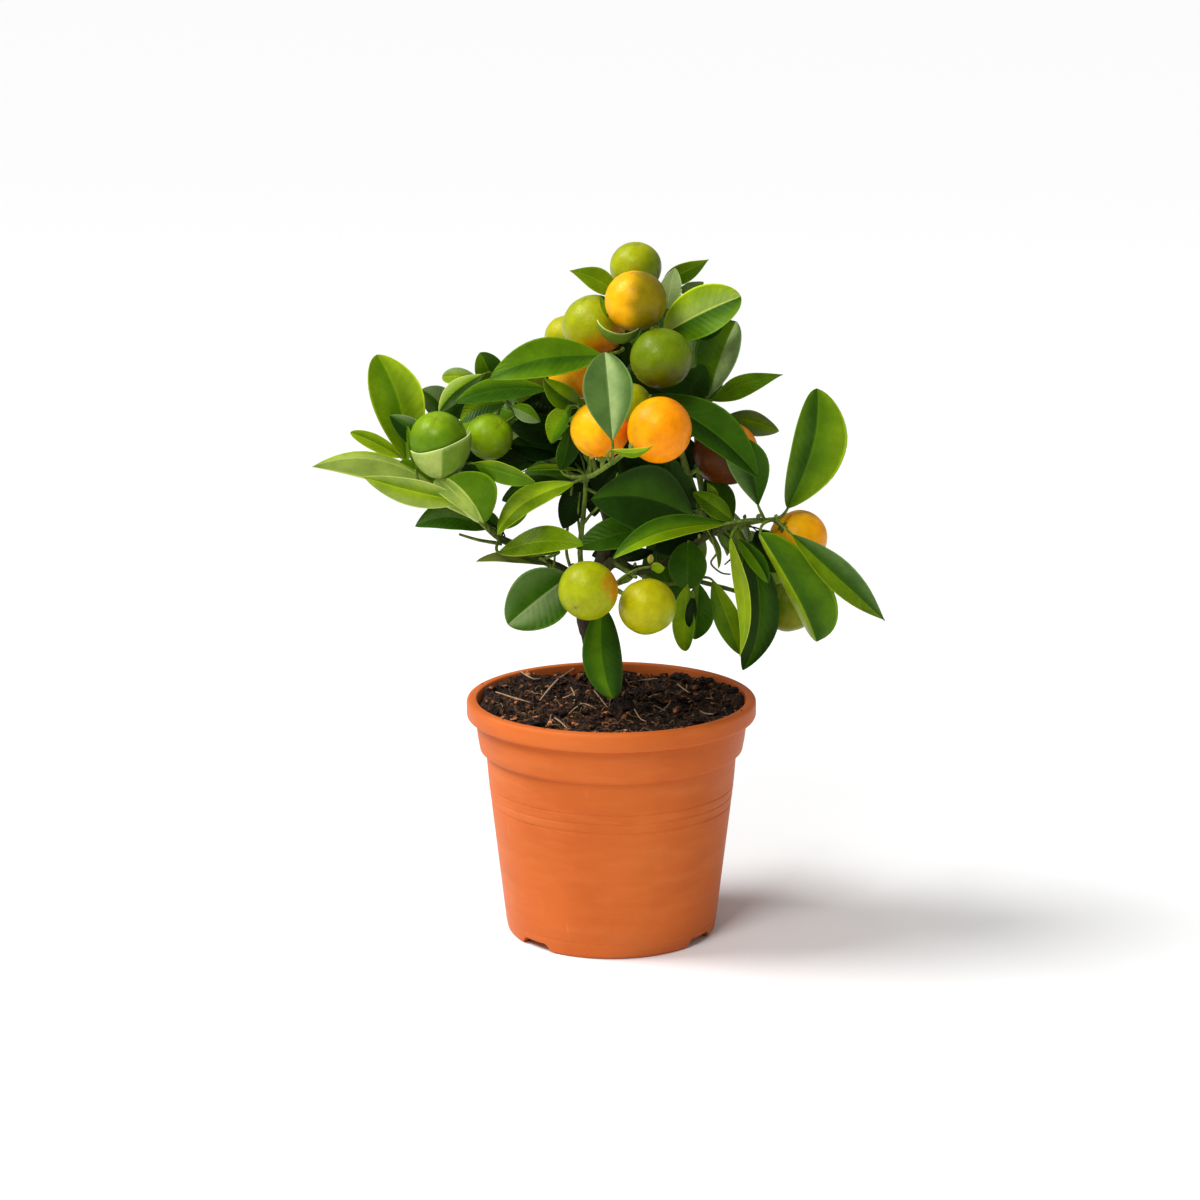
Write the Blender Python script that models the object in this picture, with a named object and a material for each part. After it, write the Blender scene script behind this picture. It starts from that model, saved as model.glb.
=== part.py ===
"""Potted calamondin tree: nursery pot, peat soil, branching wood, fruits and leaves.

Units are metres, +Z up, and the pot's axis is the Z axis. The crown is laid out
in millimetres as it shows from VIEWPOINT: across (u) and up (v) on the upright
board through the pot's axis, and a depth that is negative towards the viewer.
"""

import math

import bmesh
import bpy
from mathutils import Vector, noise

MM = 0.001

# Where the layout is looked at from, and its distance from the board
VIEWPOINT = Vector((-0.0059, -1.400, 0.495))
VIEW_DISTANCE = 1.400

# Pot, a standard 15 cm nursery pot
RIM_RADIUS = 75.0
RIM_TOP = 124.5
COLLAR_RADIUS = 69.9
WALL_TOP_RADIUS = 65.2
FOOT_RADIUS = 53.2
FOOT_WIDTH = 3.0
WALL = 1.6
FLOOR_UNDERSIDE = 5.2
GROOVE_HEIGHTS = (79.3, 74.4, 69.5)
GROOVE_DEPTH = 0.5
POT_STEPS = 44
NOTCH_ANGLES = (-46.0, 56.5, 136.0, -134.0)
NOTCH_HALF_WIDTH = 9.6
NOTCH_HEIGHT = 4.5
DRAIN_COUNT = 6
DRAIN_RADIUS = 4.0
DRAIN_CIRCLE = 30.0

# Soil
SOIL_TOP = 117.2
SOIL_LUMP = 1.5
SOIL_SEGMENTS = 24
CLEARANCE = 0.3

# Wood
TRUNK_FOOT = (0.0, 10.0)
TRUNK_FOOT_RADIUS = 6.6
TRUNK_FOOT_DEPTH = 22.0
PETIOLE_FOOT_RADIUS = 1.1
PETIOLE_RADIUS = 0.75
STALK_FOOT_RADIUS = 1.3
STALK_RADIUS = 1.0
START_DEPTH = 0.6

# Leaves
BLADE_THICKNESS = 0.8
BLADE_OUTLINE = (
    (0.0, 0.08), (0.14, 0.50), (0.34, 0.90), (0.56, 1.0), (0.78, 0.80), (0.93, 0.42), (1.0, 0.10),
)

# name: across, up, depth, radius
FRUITS = {
    "fruit_01": (-88.0, 259.0, -40, 14.7),
    "fruit_02": (-62.0, 260.5, -22, 12.0),
    "fruit_03": (-6.0, 264.0, -50, 15.0),
    "fruit_04": (24.3, 264.0, -62, 17.0),
    "fruit_05": (12.0, 346.5, 5, 13.0),
    "fruit_06": (12.0, 329.5, -24, 15.7),
    "fruit_07": (-9.0, 317.0, -2, 16.0),
    "fruit_08": (-22.0, 311.0, 34, 12.0),
    "fruit_09": (-18.0, 293.0, -22, 14.0),
    "fruit_10": (25.0, 300.5, -40, 15.8),
    "fruit_11": (9.0, 277.0, -20, 11.5),
    "fruit_12": (58.0, 252.0, -10, 17.0),
    "fruit_13": (95.5, 208.0, -5, 15.0),
    "fruit_14": (91.5, 172.0, 12, 13.5),
    "fruit_15": (-12.0, 180.5, -62, 15.5),
    "fruit_16": (18.5, 172.0, -50, 15.0),
}

# name: base (across, up, depth), tip, width, roll, arch, fold, sideways bow
LEAVES = {
    "leaf_01": ((-67, 216, -30), (-150, 247.5, -58), 26, 38, 3, -36, 13),
    "leaf_02": ((-104, 246, -14), (-118, 301.5, -26), 27, 2, 3, 14, 4),
    "leaf_03": ((-65, 215.5, -46), (-84, 238.5, -50), 30, -36, 0, -28, 3),
    "leaf_04": ((-61, 213.5, -6), (-100, 215.5, -14), 22, 40, 2, 16, 4),
    "leaf_05": ((-92, 241.5, -60), (-85, 256, -78), 28, 0, 1, 16, 0),
    "leaf_06": ((-19, 237, -28), (-59, 211.5, -44), 18, 45, 2, 10, 4.5),
    "leaf_07": ((-58, 200.5, -22), (-15.5, 206, -44), 20, -45, 3, 8, -1),
    "leaf_08": ((25, 214, -20), (-18, 204, -30), 20, 35, 2, 10, 0),
    "leaf_09": ((42, 219, -30), (-9, 228, -50), 35, 0, 3, 12, 5),
    "leaf_10": ((0.5, 258, -80), (-3.5, 303, -84), 25, 0, 2, 16, 0),
    "leaf_11": ((-4, 302, -42), (-61, 291.5, -58), 21, 22, 3, 8, 3),
    "leaf_12": ((26, 313, -10), (64.5, 331.5, -22), 27, 5, 3, 14, -1),
    "leaf_13": ((49, 281, -2), (61.5, 319, -10), 28, -25, 2, 30, 0),
    "leaf_14": ((51, 279, 0), (86.5, 291, -8), 17, 38, 2, 8, -2),
    "leaf_15": ((22, 285, -32), (75, 241.5, -44), 26, -25, 2, 28, -3),
    "leaf_16": ((58, 269, 12), (84.5, 262.5, 6), 17, 45, 2, 8, -4),
    "leaf_17": ((74.5, 224.5, -20), (58, 258, -38), 16, 5, 2, 10, 2),
    "leaf_18": ((90, 223.5, -14), (105.5, 283.5, -24), 28, 0, 3, 14, 6),
    "leaf_19": ((92, 210, -48), (143, 164, -22), 20, -32, 2, 30, 0),
    "leaf_20": ((76, 210.5, -38), (106, 151, -28), 38, 38, 2, -34, -1),
    "leaf_21": ((71, 207, -12), (68, 137, -4), 21, 0, 3, 8, -7),
    "leaf_22": ((61, 208.5, -30), (63.5, 145, -26), 15, 58, -5, 8, -3),
    "leaf_23": ((45, 184, -6), (43, 154, 0), 18, 0, 2, 8, 0),
    "leaf_24": ((58, 215.5, -48), (1, 198.5, -66), 15, 40, 3, 10, 5),
    "leaf_25": ((-5, 172, -40), (1, 123, -50), 20, 0, 2, 8, 3),
    "leaf_26": ((-22, 188, -38), (-53, 163, -54), 30, 5, 3, 8, 0),
    "leaf_27": ((-59, 287, 0), (-66, 303, -8), 15, 10, 1, 8, 0),
    "leaf_28": ((-33, 285, -10), (-79, 279, -26), 14, 30, 2, 8, 2),
    "leaf_29": ((-15.5, 276, -26), (-33.5, 289, -54), 13, -10, 1, 8, -1),
    "leaf_30": ((25, 338, 8), (48.5, 349.5, 2), 12, 30, 1, 8, -1),
    "leaf_31": ((18, 262, 58), (40, 296, 76), 26, 0, 3, 8, 0),
    "leaf_32": ((-10, 262, 62), (-40, 288, 80), 26, 0, 3, 8, 0),
    "leaf_33": ((40, 240, 56), (67, 258, 74), 22, 0, 3, 8, 0),
    "leaf_34": ((-38, 250, 52), (-76, 274, 62), 24, 10, 3, 8, 0),
    "leaf_35": ((62, 208, 40), (100, 180, 56), 25, 0, 3, 8, 0),
    "leaf_36": ((-21, 190, 30), (-44, 168, 52), 22, 0, 3, 8, 0),
    "leaf_37": ((20, 208, 48), (34, 170, 66), 25, 0, 3, 8, 0),
    "leaf_38": ((14, 236, 62), (28, 220, 88), 26, 0, 3, 8, 0),
    "leaf_39": ((-12, 240, 62), (-46, 240, 84), 25, 10, 3, 8, 0),
    "leaf_40": ((2, 300, 44), (16, 318, 72), 24, 0, 3, 8, 0),
}

# Main limbs: points (across, up, depth), with the radius at both ends
TRUNK = (((0, 112, 10), (-1, 122, 10), (-3.5, 136, 8), (-9, 153, 6), (-13, 167, 4), (-12, 181, 4)), 6.4, 4.8)
LIMBS = (
    (((-13, 172, 4), (-6, 193, 6), (-2, 206, 10), (4, 222, 14), (6, 240, 14), (4, 262, 10),
      (1, 284, 6), (4, 306, 4), (15, 322, 8)), 4.2, 1.5),
    (((-12, 178, 4), (0, 195, 2), (12, 191, 0), (30, 196, -2), (50, 210, -4), (60, 214.5, -6),
      (72, 216.5, -14), (84, 218, -22)), 3.4, 1.0),
    (((-13, 176, 4), (-22, 189, 2), (-34, 196, 0), (-46, 203, -6), (-57, 208, -12),
      (-68, 218, -16)), 3.0, 1.7),
    (((-66, 216, -15), (-74, 230, -10), (-86, 242, -5), (-101, 245, -6)), 1.7, 1.1),
    (((-14, 184, 3), (-16, 198, 0), (-15.5, 210, -2), (-14, 224, -6), (-13, 240, -10)), 1.6, 1.0),
    (((6, 240, 14), (-12, 247, 16), (-30, 252, 14), (-45, 268, 14), (-57, 284, 8)), 1.8, 0.9),
    (((50, 210, -4), (47, 228, 10), (44, 246, 16), (43, 266, 12), (42, 286, 6), (36, 306, -3)), 2.0, 1.0),
    (((12, 191, 0), (26, 184, 4), (42, 186, 2)), 1.6, 1.0),
    (((-2, 206, 10), (-4, 222, 28), (-20, 240, 44), (-26, 252, 50)), 2.4, 1.1),
    (((-2, 206, 10), (2, 214, 30), (14, 232, 50), (20, 252, 52)), 2.4, 1.1),
    (((1, 284, 6), (0, 296, 26), (0, 300, 40)), 1.4, 0.9),
    (((2, 214, 30), (28, 214, 36), (56, 212, 36)), 1.6, 1.0),
    (((-8, 189, 5), (-20, 194, 22)), 1.5, 1.0),
    (((1, 211.5, 25), (18, 212, 44)), 1.5, 1.0),
    (((12, 191, 0), (8, 186, -22), (-4, 182, -36)), 1.6, 1.0),
    (((50, 210, -4), (40, 238, -14), (33, 260, -32)), 1.8, 1.6),
    (((-13, 238, -10), (-12, 240, -26), (-9, 241, -42), (0, 247, -70)), 1.6, 1.0),
)


def seen(u, v, depth):
    """Point on the sight line through board point (u, v), at the given depth."""
    reach = (depth * MM + VIEW_DISTANCE) / VIEW_DISTANCE
    return VIEWPOINT + reach * (Vector((u * MM, 0.0, v * MM)) - VIEWPOINT)


def material(name, colour, roughness):
    """Plain Principled material."""
    made = bpy.data.materials.new(name)
    made.use_nodes = True
    shader = made.node_tree.nodes["Principled BSDF"]
    shader.inputs["Base Color"].default_value = (*colour, 1.0)
    shader.inputs["Roughness"].default_value = roughness
    return made


def add_object(name, mesh, slot=None):
    """Link a mesh as a named object in the scene."""
    made = bpy.data.objects.new(name, mesh)
    bpy.context.scene.collection.objects.link(made)
    if slot is not None:
        mesh.materials.append(slot)
    return made


def as_guide(made):
    """Keep a cutter out of the finished part."""
    made.hide_render = True
    made.display_type = "WIRE"
    return made


def mesh_from(name, bm):
    """Turn a bmesh into a mesh with outward faces."""
    bmesh.ops.recalc_face_normals(bm, faces=bm.faces)
    mesh = bpy.data.meshes.new(name)
    bm.to_mesh(mesh)
    bm.free()
    return mesh


def boolean(target, other, operation, solver="EXACT"):
    """Add a Boolean of another object."""
    cut = target.modifiers.new(operation.title(), "BOOLEAN")
    cut.object = other
    cut.operation = operation
    cut.solver = solver


def bridge_rings(bm, rings):
    """Skin a list of equal vertex rings and cap both ends."""
    count = len(rings[0])
    for low, high in zip(rings, rings[1:]):
        for i in range(count):
            j = (i + 1) % count
            bm.faces.new((low[i], low[j], high[j], high[i]))
    bm.faces.new(rings[0][::-1])
    bm.faces.new(rings[-1])


def add_tube(bm, points, radius_start, radius_end, sides):
    """Sweep a tapering round section along a path."""
    rings = []
    side = Vector((0.37, 0.91, 0.18))
    last = len(points) - 1
    for i, point in enumerate(points):
        along = (points[min(i + 1, last)] - points[max(i - 1, 0)]).normalized()
        side = (side - side.dot(along) * along).normalized()
        other = along.cross(side)
        radius = MM * (radius_start + (radius_end - radius_start) * i / last)
        rings.append([
            bm.verts.new(point + radius * (math.cos(a) * side + math.sin(a) * other))
            for a in (2.0 * math.pi * k / sides for k in range(sides))
        ])
    bridge_rings(bm, rings)


def pot_profile():
    """Pot section from the middle of its floor, up inside, and down outside."""
    inner_floor = FLOOR_UNDERSIDE + WALL
    foot_inside = FOOT_RADIUS - FOOT_WIDTH
    points = [
        (0.0, inner_floor),
        (foot_inside + 1.4, inner_floor),
        (foot_inside + 4.0, 9.0),
        (WALL_TOP_RADIUS - WALL, 93.5),
        (66.4, 98.0),
        (COLLAR_RADIUS - WALL, 108.0),
        (69.1, 121.6),
        (69.6, 123.6),
        (70.8, RIM_TOP),
        (73.2, 124.2),
        (74.6, 122.8),
        (RIM_RADIUS, 120.0),
        (74.5, 116.8),
        (73.4, 115.0),
        (COLLAR_RADIUS + 0.3, 114.5),
        (COLLAR_RADIUS, 107.0),
        (68.0, 98.0),
        (WALL_TOP_RADIUS + 0.1, 95.4),
        (WALL_TOP_RADIUS, 93.4),
    ]
    for height in GROOVE_HEIGHTS:
        radius = WALL_TOP_RADIUS - (93.4 - height) * 0.1145
        points += [
            (radius + 0.06, height + 0.6),
            (radius - GROOVE_DEPTH, height),
            (radius - 0.06, height - 0.6),
        ]
    points += [
        (55.4, 6.0),
        (54.6, 2.0),
        (FOOT_RADIUS + 0.2, 0.0),
        (foot_inside, 0.0),
        (foot_inside - 0.4, FLOOR_UNDERSIDE),
        (0.0, FLOOR_UNDERSIDE),
    ]
    return points


def add_pot():
    """Thin-walled pot turned from its section, with drain holes and foot notches."""
    mesh = bpy.data.meshes.new("pot")
    points = pot_profile()
    mesh.from_pydata(
        [(x * MM, 0.0, z * MM) for x, z in points], [(i, i + 1) for i in range(len(points) - 1)], []
    )
    pot = add_object("pot", mesh, material("terracotta_plastic", (0.72, 0.22, 0.06), 0.55))
    turn = pot.modifiers.new("Turn", "SCREW")
    turn.angle = 2.0 * math.pi
    turn.steps = POT_STEPS
    turn.render_steps = POT_STEPS
    turn.use_merge_vertices = True
    turn.merge_threshold = 0.00005
    turn.use_smooth_shade = True

    bm = bmesh.new()
    for angle in NOTCH_ANGLES:
        heading = math.radians(angle)
        out = Vector((math.sin(heading), -math.cos(heading), 0.0))
        across = Vector((math.cos(heading), math.sin(heading), 0.0))
        rings = []
        for radius in (FOOT_RADIUS - 7.0, FOOT_RADIUS + 6.0):
            low = NOTCH_HALF_WIDTH + 3.0
            corners = ((-low, -2.0), (low, -2.0), (NOTCH_HALF_WIDTH - 2.0, NOTCH_HEIGHT),
                       (2.0 - NOTCH_HALF_WIDTH, NOTCH_HEIGHT))
            rings.append([
                bm.verts.new((out * radius + across * x + Vector((0.0, 0.0, z))) * MM)
                for x, z in corners
            ])
        bridge_rings(bm, rings)
    for i in range(DRAIN_COUNT + 1):
        angle = 2.0 * math.pi * i / DRAIN_COUNT
        reach = DRAIN_CIRCLE if i < DRAIN_COUNT else 0.0
        centre = Vector((math.cos(angle), math.sin(angle), 0.0)) * reach * MM
        ends = [
            centre + Vector((0.0, 0.0, z * MM))
            for z in (FLOOR_UNDERSIDE - 1.0, FLOOR_UNDERSIDE + WALL + 1.0)
        ]
        add_tube(bm, ends, DRAIN_RADIUS, DRAIN_RADIUS, 12)
    cutter = as_guide(add_object("pot_cutter", mesh_from("pot_cutter", bm)))
    boolean(pot, cutter, "DIFFERENCE")


def add_soil():
    """Peat filling the pot, lumpy on top, with a pocket for the trunk's foot."""
    wall_radius = WALL_TOP_RADIUS - WALL
    levels = (
        (FOOT_RADIUS - FOOT_WIDTH + 1.0, FLOOR_UNDERSIDE + WALL + CLEARANCE),
        (FOOT_RADIUS - FOOT_WIDTH + 4.0 - CLEARANCE - 0.3, 9.3),
        (wall_radius - CLEARANCE - 0.3, 93.5),
        (66.4 - CLEARANCE - 0.4, 98.4),
        (COLLAR_RADIUS - WALL - CLEARANCE - 0.4, 108.4),
        (COLLAR_RADIUS - WALL - CLEARANCE - 0.2, SOIL_TOP - 1.6),
        (56.0, SOIL_TOP),
        (40.0, SOIL_TOP),
        (24.0, SOIL_TOP),
        (11.0, SOIL_TOP),
    )
    bm = bmesh.new()
    rings = []
    for radius, height in levels:
        ring = []
        for k in range(SOIL_SEGMENTS):
            angle = 2.0 * math.pi * k / SOIL_SEGMENTS
            spot = Vector((radius * math.cos(angle), radius * math.sin(angle), height))
            if height >= SOIL_TOP - 2.0:
                spot.z += SOIL_LUMP * noise.noise(Vector((spot.x * 0.11, spot.y * 0.11, 3.7)))
            ring.append(bm.verts.new(spot * MM))
        rings.append(ring)
    bridge_rings(bm, rings)
    soil = add_object("soil", mesh_from("soil", bm), material("peat", (0.03, 0.018, 0.011), 0.95))
    bm = bmesh.new()
    foot = Vector((*TRUNK_FOOT, 0.0)) * MM
    ends = [
        foot + Vector((0.0, 0.0, z * MM))
        for z in (SOIL_TOP - TRUNK_FOOT_DEPTH - CLEARANCE, SOIL_TOP + 8.0)
    ]
    add_tube(bm, ends, TRUNK_FOOT_RADIUS + CLEARANCE + 0.3, TRUNK_FOOT_RADIUS + CLEARANCE + 0.3, 16)
    boolean(soil, as_guide(add_object("soil_pocket", mesh_from("soil_pocket", bm))), "DIFFERENCE")


def nearest_on_limbs(spot):
    """Closest point to a spot on the middle lines of all limbs."""
    best = None
    for points, _, _ in (TRUNK, *LIMBS):
        path = [seen(*point) for point in points]
        for a, b in zip(path, path[1:]):
            part = max(0.0, min(1.0, (spot - a).dot(b - a) / (b - a).length_squared))
            found = a.lerp(b, part)
            if best is None or (found - spot).length < (best - spot).length:
                best = found
    return best


def sunk_start(spot):
    """Start of a tube to a spot, set a little way back into the nearest limb."""
    origin = nearest_on_limbs(spot)
    return origin - (spot - origin).normalized() * START_DEPTH * MM


def join_tube(target, points, radius_start, radius_end, sides):
    """Join one tube to a solid. Tubes that start at one point need the MANIFOLD solver."""
    bm = bmesh.new()
    add_tube(bm, points, radius_start, radius_end, sides)
    tube = add_object("tube", mesh_from("tube", bm))
    boolean(target, tube, "UNION", "MANIFOLD")
    joined = target.evaluated_get(bpy.context.evaluated_depsgraph_get())
    target.data = bpy.data.meshes.new_from_object(joined)
    target.modifiers.clear()
    bpy.data.objects.remove(tube, do_unlink=True)


def add_wood():
    """Trunk, limbs, petioles and fruit stalks, grown as one piece."""
    bark = material("bark", (0.10, 0.075, 0.045), 0.8)
    points, _, thin = TRUNK
    bm = bmesh.new()
    foot = [Vector((*TRUNK_FOOT, z)) * MM for z in (SOIL_TOP - TRUNK_FOOT_DEPTH, SOIL_TOP - 3.0)]
    add_tube(bm, foot + [seen(*point) for point in points[1:]], TRUNK_FOOT_RADIUS, thin, 10)
    wood = add_object("wood", mesh_from("wood", bm), bark)
    for points, thick, thin in LIMBS:
        join_tube(wood, [seen(*point) for point in points], thick, thin, 6)
    for base, tip, *_ in LEAVES.values():
        start = seen(*base)
        heading = (seen(*tip) - start).normalized()
        origin = sunk_start(start)
        bend = start - heading * min(5.0 * MM, 0.5 * (start - origin).length)
        end = start - heading * CLEARANCE * MM
        join_tube(wood, [origin, bend, end], PETIOLE_FOOT_RADIUS, PETIOLE_RADIUS, 5)
    for u, v, depth, radius in FRUITS.values():
        centre = seen(u, v, depth)
        origin = sunk_start(centre)
        reach = (centre - origin).normalized()
        end = centre - reach * (radius + CLEARANCE) * MM
        join_tube(wood, [origin, end], STALK_FOOT_RADIUS, STALK_RADIUS, 5)


def add_fruit(name, u, v, depth, radius, slot):
    """Round fruit."""
    bm = bmesh.new()
    true_radius = radius * MM * (depth * MM + VIEW_DISTANCE) / VIEW_DISTANCE
    bmesh.ops.create_uvsphere(bm, u_segments=12, v_segments=8, radius=true_radius)
    bmesh.ops.translate(bm, verts=bm.verts, vec=seen(u, v, depth))
    for face in bm.faces:
        face.smooth = True
    add_object(name, mesh_from(name, bm), slot)


def add_leaf(name, base, tip, width, roll, arch, fold, bow, slot):
    """Thin arched blade that faces the viewer, then is rolled about its length."""
    start = seen(*base)
    end = seen(*tip)
    along = (end - start).normalized()
    facing = VIEWPOINT - start
    facing = (facing - facing.dot(along) * along).normalized()
    turn = math.radians(roll)
    face_out = math.cos(turn) * facing + math.sin(turn) * along.cross(facing)
    across = along.cross(face_out)
    bend = math.radians(fold)
    bm = bmesh.new()
    rings = []
    for part, share in BLADE_OUTLINE:
        half = 0.5 * width * MM * share
        sway = part ** 1.2
        shift = (arch * face_out + bow * across) * MM * 4.0 * sway * (1.0 - sway)
        middle = start.lerp(end, part) + shift
        reach = across * half * math.cos(bend)
        edge_lift = face_out * half * math.sin(bend)
        skin = face_out * BLADE_THICKNESS * 0.5 * MM
        left = middle - reach + edge_lift
        right = middle + reach + edge_lift
        ring = (left + skin, middle + skin, right + skin, right - skin, middle - skin, left - skin)
        rings.append([bm.verts.new(corner) for corner in ring])
    bridge_rings(bm, rings)
    for face in bm.faces:
        face.smooth = True
    add_object(name, mesh_from(name, bm), slot)


def main():
    for old in list(bpy.data.objects):
        bpy.data.objects.remove(old, do_unlink=True)
    add_pot()
    add_soil()
    add_wood()
    rind = material("fruit_rind", (0.80, 0.32, 0.02), 0.4)
    for name, shape in FRUITS.items():
        add_fruit(name, *shape, rind)
    blade = material("leaf_blade", (0.08, 0.17, 0.03), 0.45)
    for name, shape in LEAVES.items():
        add_leaf(name, *shape, blade)


main()
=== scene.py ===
"""Potted calamondin tree: the looks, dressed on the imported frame.

Everything is in metres in the frame's own axes. The crown is laid out as in the
part's source: millimetres across (u) and up (v) on the upright board through the
pot's axis as seen from VIEWPOINT, and a depth that is negative towards the viewer.
"""

import itertools
import math
import random

import bmesh
import bpy
from mathutils import Matrix, Vector, noise


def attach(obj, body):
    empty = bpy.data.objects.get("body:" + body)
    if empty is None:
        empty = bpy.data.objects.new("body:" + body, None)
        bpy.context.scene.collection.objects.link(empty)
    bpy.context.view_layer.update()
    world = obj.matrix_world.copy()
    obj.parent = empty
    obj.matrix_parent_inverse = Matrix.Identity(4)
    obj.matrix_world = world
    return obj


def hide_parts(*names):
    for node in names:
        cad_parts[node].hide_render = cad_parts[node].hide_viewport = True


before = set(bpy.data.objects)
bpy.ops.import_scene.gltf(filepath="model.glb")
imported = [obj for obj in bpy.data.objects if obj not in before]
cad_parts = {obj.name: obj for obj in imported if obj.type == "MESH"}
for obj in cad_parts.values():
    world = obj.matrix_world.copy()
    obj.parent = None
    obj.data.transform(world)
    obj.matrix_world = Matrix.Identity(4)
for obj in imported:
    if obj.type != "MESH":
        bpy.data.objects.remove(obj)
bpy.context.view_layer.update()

MM = 0.001
VIEWPOINT = Vector((-0.0059, -1.400, 0.495))
VIEW_DISTANCE = 1.400
UP = Vector((0.0, 0.0, 1.0))


# ---------------------------------------------------------------- helpers

def growth(depth):
    """Size of a thing at a depth in mm against its picture on the board."""
    return (depth * MM + VIEW_DISTANCE) / VIEW_DISTANCE


def seen(u, v, depth):
    """Point on the sight line through board point (u, v), at the given depth."""
    return VIEWPOINT + growth(depth) * (Vector((u * MM, 0.0, v * MM)) - VIEWPOINT)


def seen_at_height(u, v, height):
    """Point on the sight line through board point (u, v), at the given height in mm."""
    ray = Vector((u * MM, 0.0, v * MM)) - VIEWPOINT
    return VIEWPOINT + ray * ((height * MM - VIEWPOINT.z) / ray.z)


def on_board(point):
    """Board coordinates in mm of a point's sight line."""
    ray = point - VIEWPOINT
    hit = VIEWPOINT + ray * (VIEW_DISTANCE / ray.y)
    return hit.x / MM, hit.z / MM


def srgb(*levels):
    """Linear colour of an 8-bit display colour."""
    def one(c):
        c /= 255.0
        return c / 12.92 if c <= 0.04045 else ((c + 0.055) / 1.055) ** 2.4
    return Vector([one(level) for level in levels])


def smooth(low, high, value):
    """Smooth step from low to high."""
    t = max(0.0, min(1.0, (value - low) / (high - low)))
    return t * t * (3.0 - 2.0 * t)


def bell(value, centre, width):
    """Bell curve of height 1."""
    return math.exp(-((value - centre) / width) ** 2)


def spline(points, per_span):
    """Catmull-Rom points through a list of vectors or numbers."""
    out = []
    last = len(points) - 1
    for i in range(last):
        a, b, c, d = points[max(i - 1, 0)], points[i], points[i + 1], points[min(i + 2, last)]
        for k in range(per_span):
            t = k / per_span
            out.append(0.5 * (2.0 * b + (c - a) * t + (2.0 * a - 5.0 * b + 4.0 * c - d) * t * t
                              + (3.0 * b - a - 3.0 * c + d) * t ** 3))
    out.append(points[-1])
    return out


def bow_curve(start, control, end, t):
    """Point of the quadratic curve from start to end that leans towards control."""
    return start * (1 - t) ** 2 + control * 2 * t * (1 - t) + end * t * t


def around(count):
    """Cosine and sine at equal steps round a circle."""
    turns = [2.0 * math.pi * k / count for k in range(count)]
    return [(math.cos(a), math.sin(a)) for a in turns]


def square_to(axis, hint):
    """Unit axis and two directions square to it."""
    axis = axis.normalized()
    side = axis.cross(Vector(hint)).normalized()
    return axis, side, axis.cross(side)


class Shape:
    """Vertices and faces of one piece, with a tint and a uv for each vertex."""

    def __init__(self):
        self.verts = []
        self.tints = []
        self.uvs = []
        self.faces = []
        self.slots = []

    def vert(self, place, tint=(1.0, 1.0, 1.0), uv=(0.5, 0.5)):
        """Number of a new vertex."""
        self.verts.append(tuple(place))
        self.tints.append((*tint, 1.0))
        self.uvs.append(uv)
        return len(self.verts) - 1

    def face(self, corners, slot=0):
        self.faces.append(tuple(corners))
        self.slots.append(slot)

    def skin(self, rings, closed=True):
        """Join equal rings and, for a closed tube, cap both ends."""
        count = len(rings[0])
        for low, high in zip(rings, rings[1:]):
            for i in range(count):
                j = (i + 1) % count
                self.face((low[i], low[j], high[j], high[i]))
        if closed:
            self.face(rings[0][::-1])
            self.face(rings[-1])

    def sheet(self, front, back, front_slot):
        """Join two equal grids, face to face, into a thin closed sheet."""
        rows = range(len(front) - 1)
        columns = range(len(front[0]) - 1)
        for i in rows:
            for k in columns:
                self.face((front[i][k], front[i][k + 1], front[i + 1][k + 1], front[i + 1][k]), front_slot)
                self.face((back[i][k + 1], back[i][k], back[i + 1][k], back[i + 1][k + 1]), 1 - front_slot)
        for k, step in ((0, 1), (-1, -1)):
            for i in rows:
                self.face((front[i][k], front[i + 1][k], back[i + 1][k], back[i][k])[::step], 1)
        for i, step in ((0, -1), (-1, 1)):
            for k in columns:
                self.face((front[i][k], front[i][k + 1], back[i][k + 1], back[i][k])[::step], 1)

    def mesh(self, name):
        made = bpy.data.meshes.new(name)
        made.from_pydata(self.verts, [], self.faces)
        return made

    def make(self, name, materials, slot, nodes=()):
        """Finished piece that rides on the root body and stands for the given nodes."""
        mesh = self.mesh(name)
        for made in materials:
            mesh.materials.append(made)
        mesh.polygons.foreach_set("material_index", self.slots)
        mesh.polygons.foreach_set("use_smooth", [True] * len(self.faces))
        tint = mesh.attributes.new("tint", "FLOAT_COLOR", "POINT")
        tint.data.foreach_set("color", [c for colour in self.tints for c in colour])
        layer = mesh.uv_layers.new(name="blade")
        for loop in mesh.loops:
            layer.data[loop.index].uv = self.uvs[loop.vertex_index]
        mesh.update()
        piece = place_object(name, mesh)
        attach(piece, "root")
        if nodes:
            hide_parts(*nodes)
        return piece


def place_object(name, data):
    """New object in the scene."""
    made = bpy.data.objects.new(name, data)
    bpy.context.scene.collection.objects.link(made)
    return made


# ---------------------------------------------------------------- materials

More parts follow.
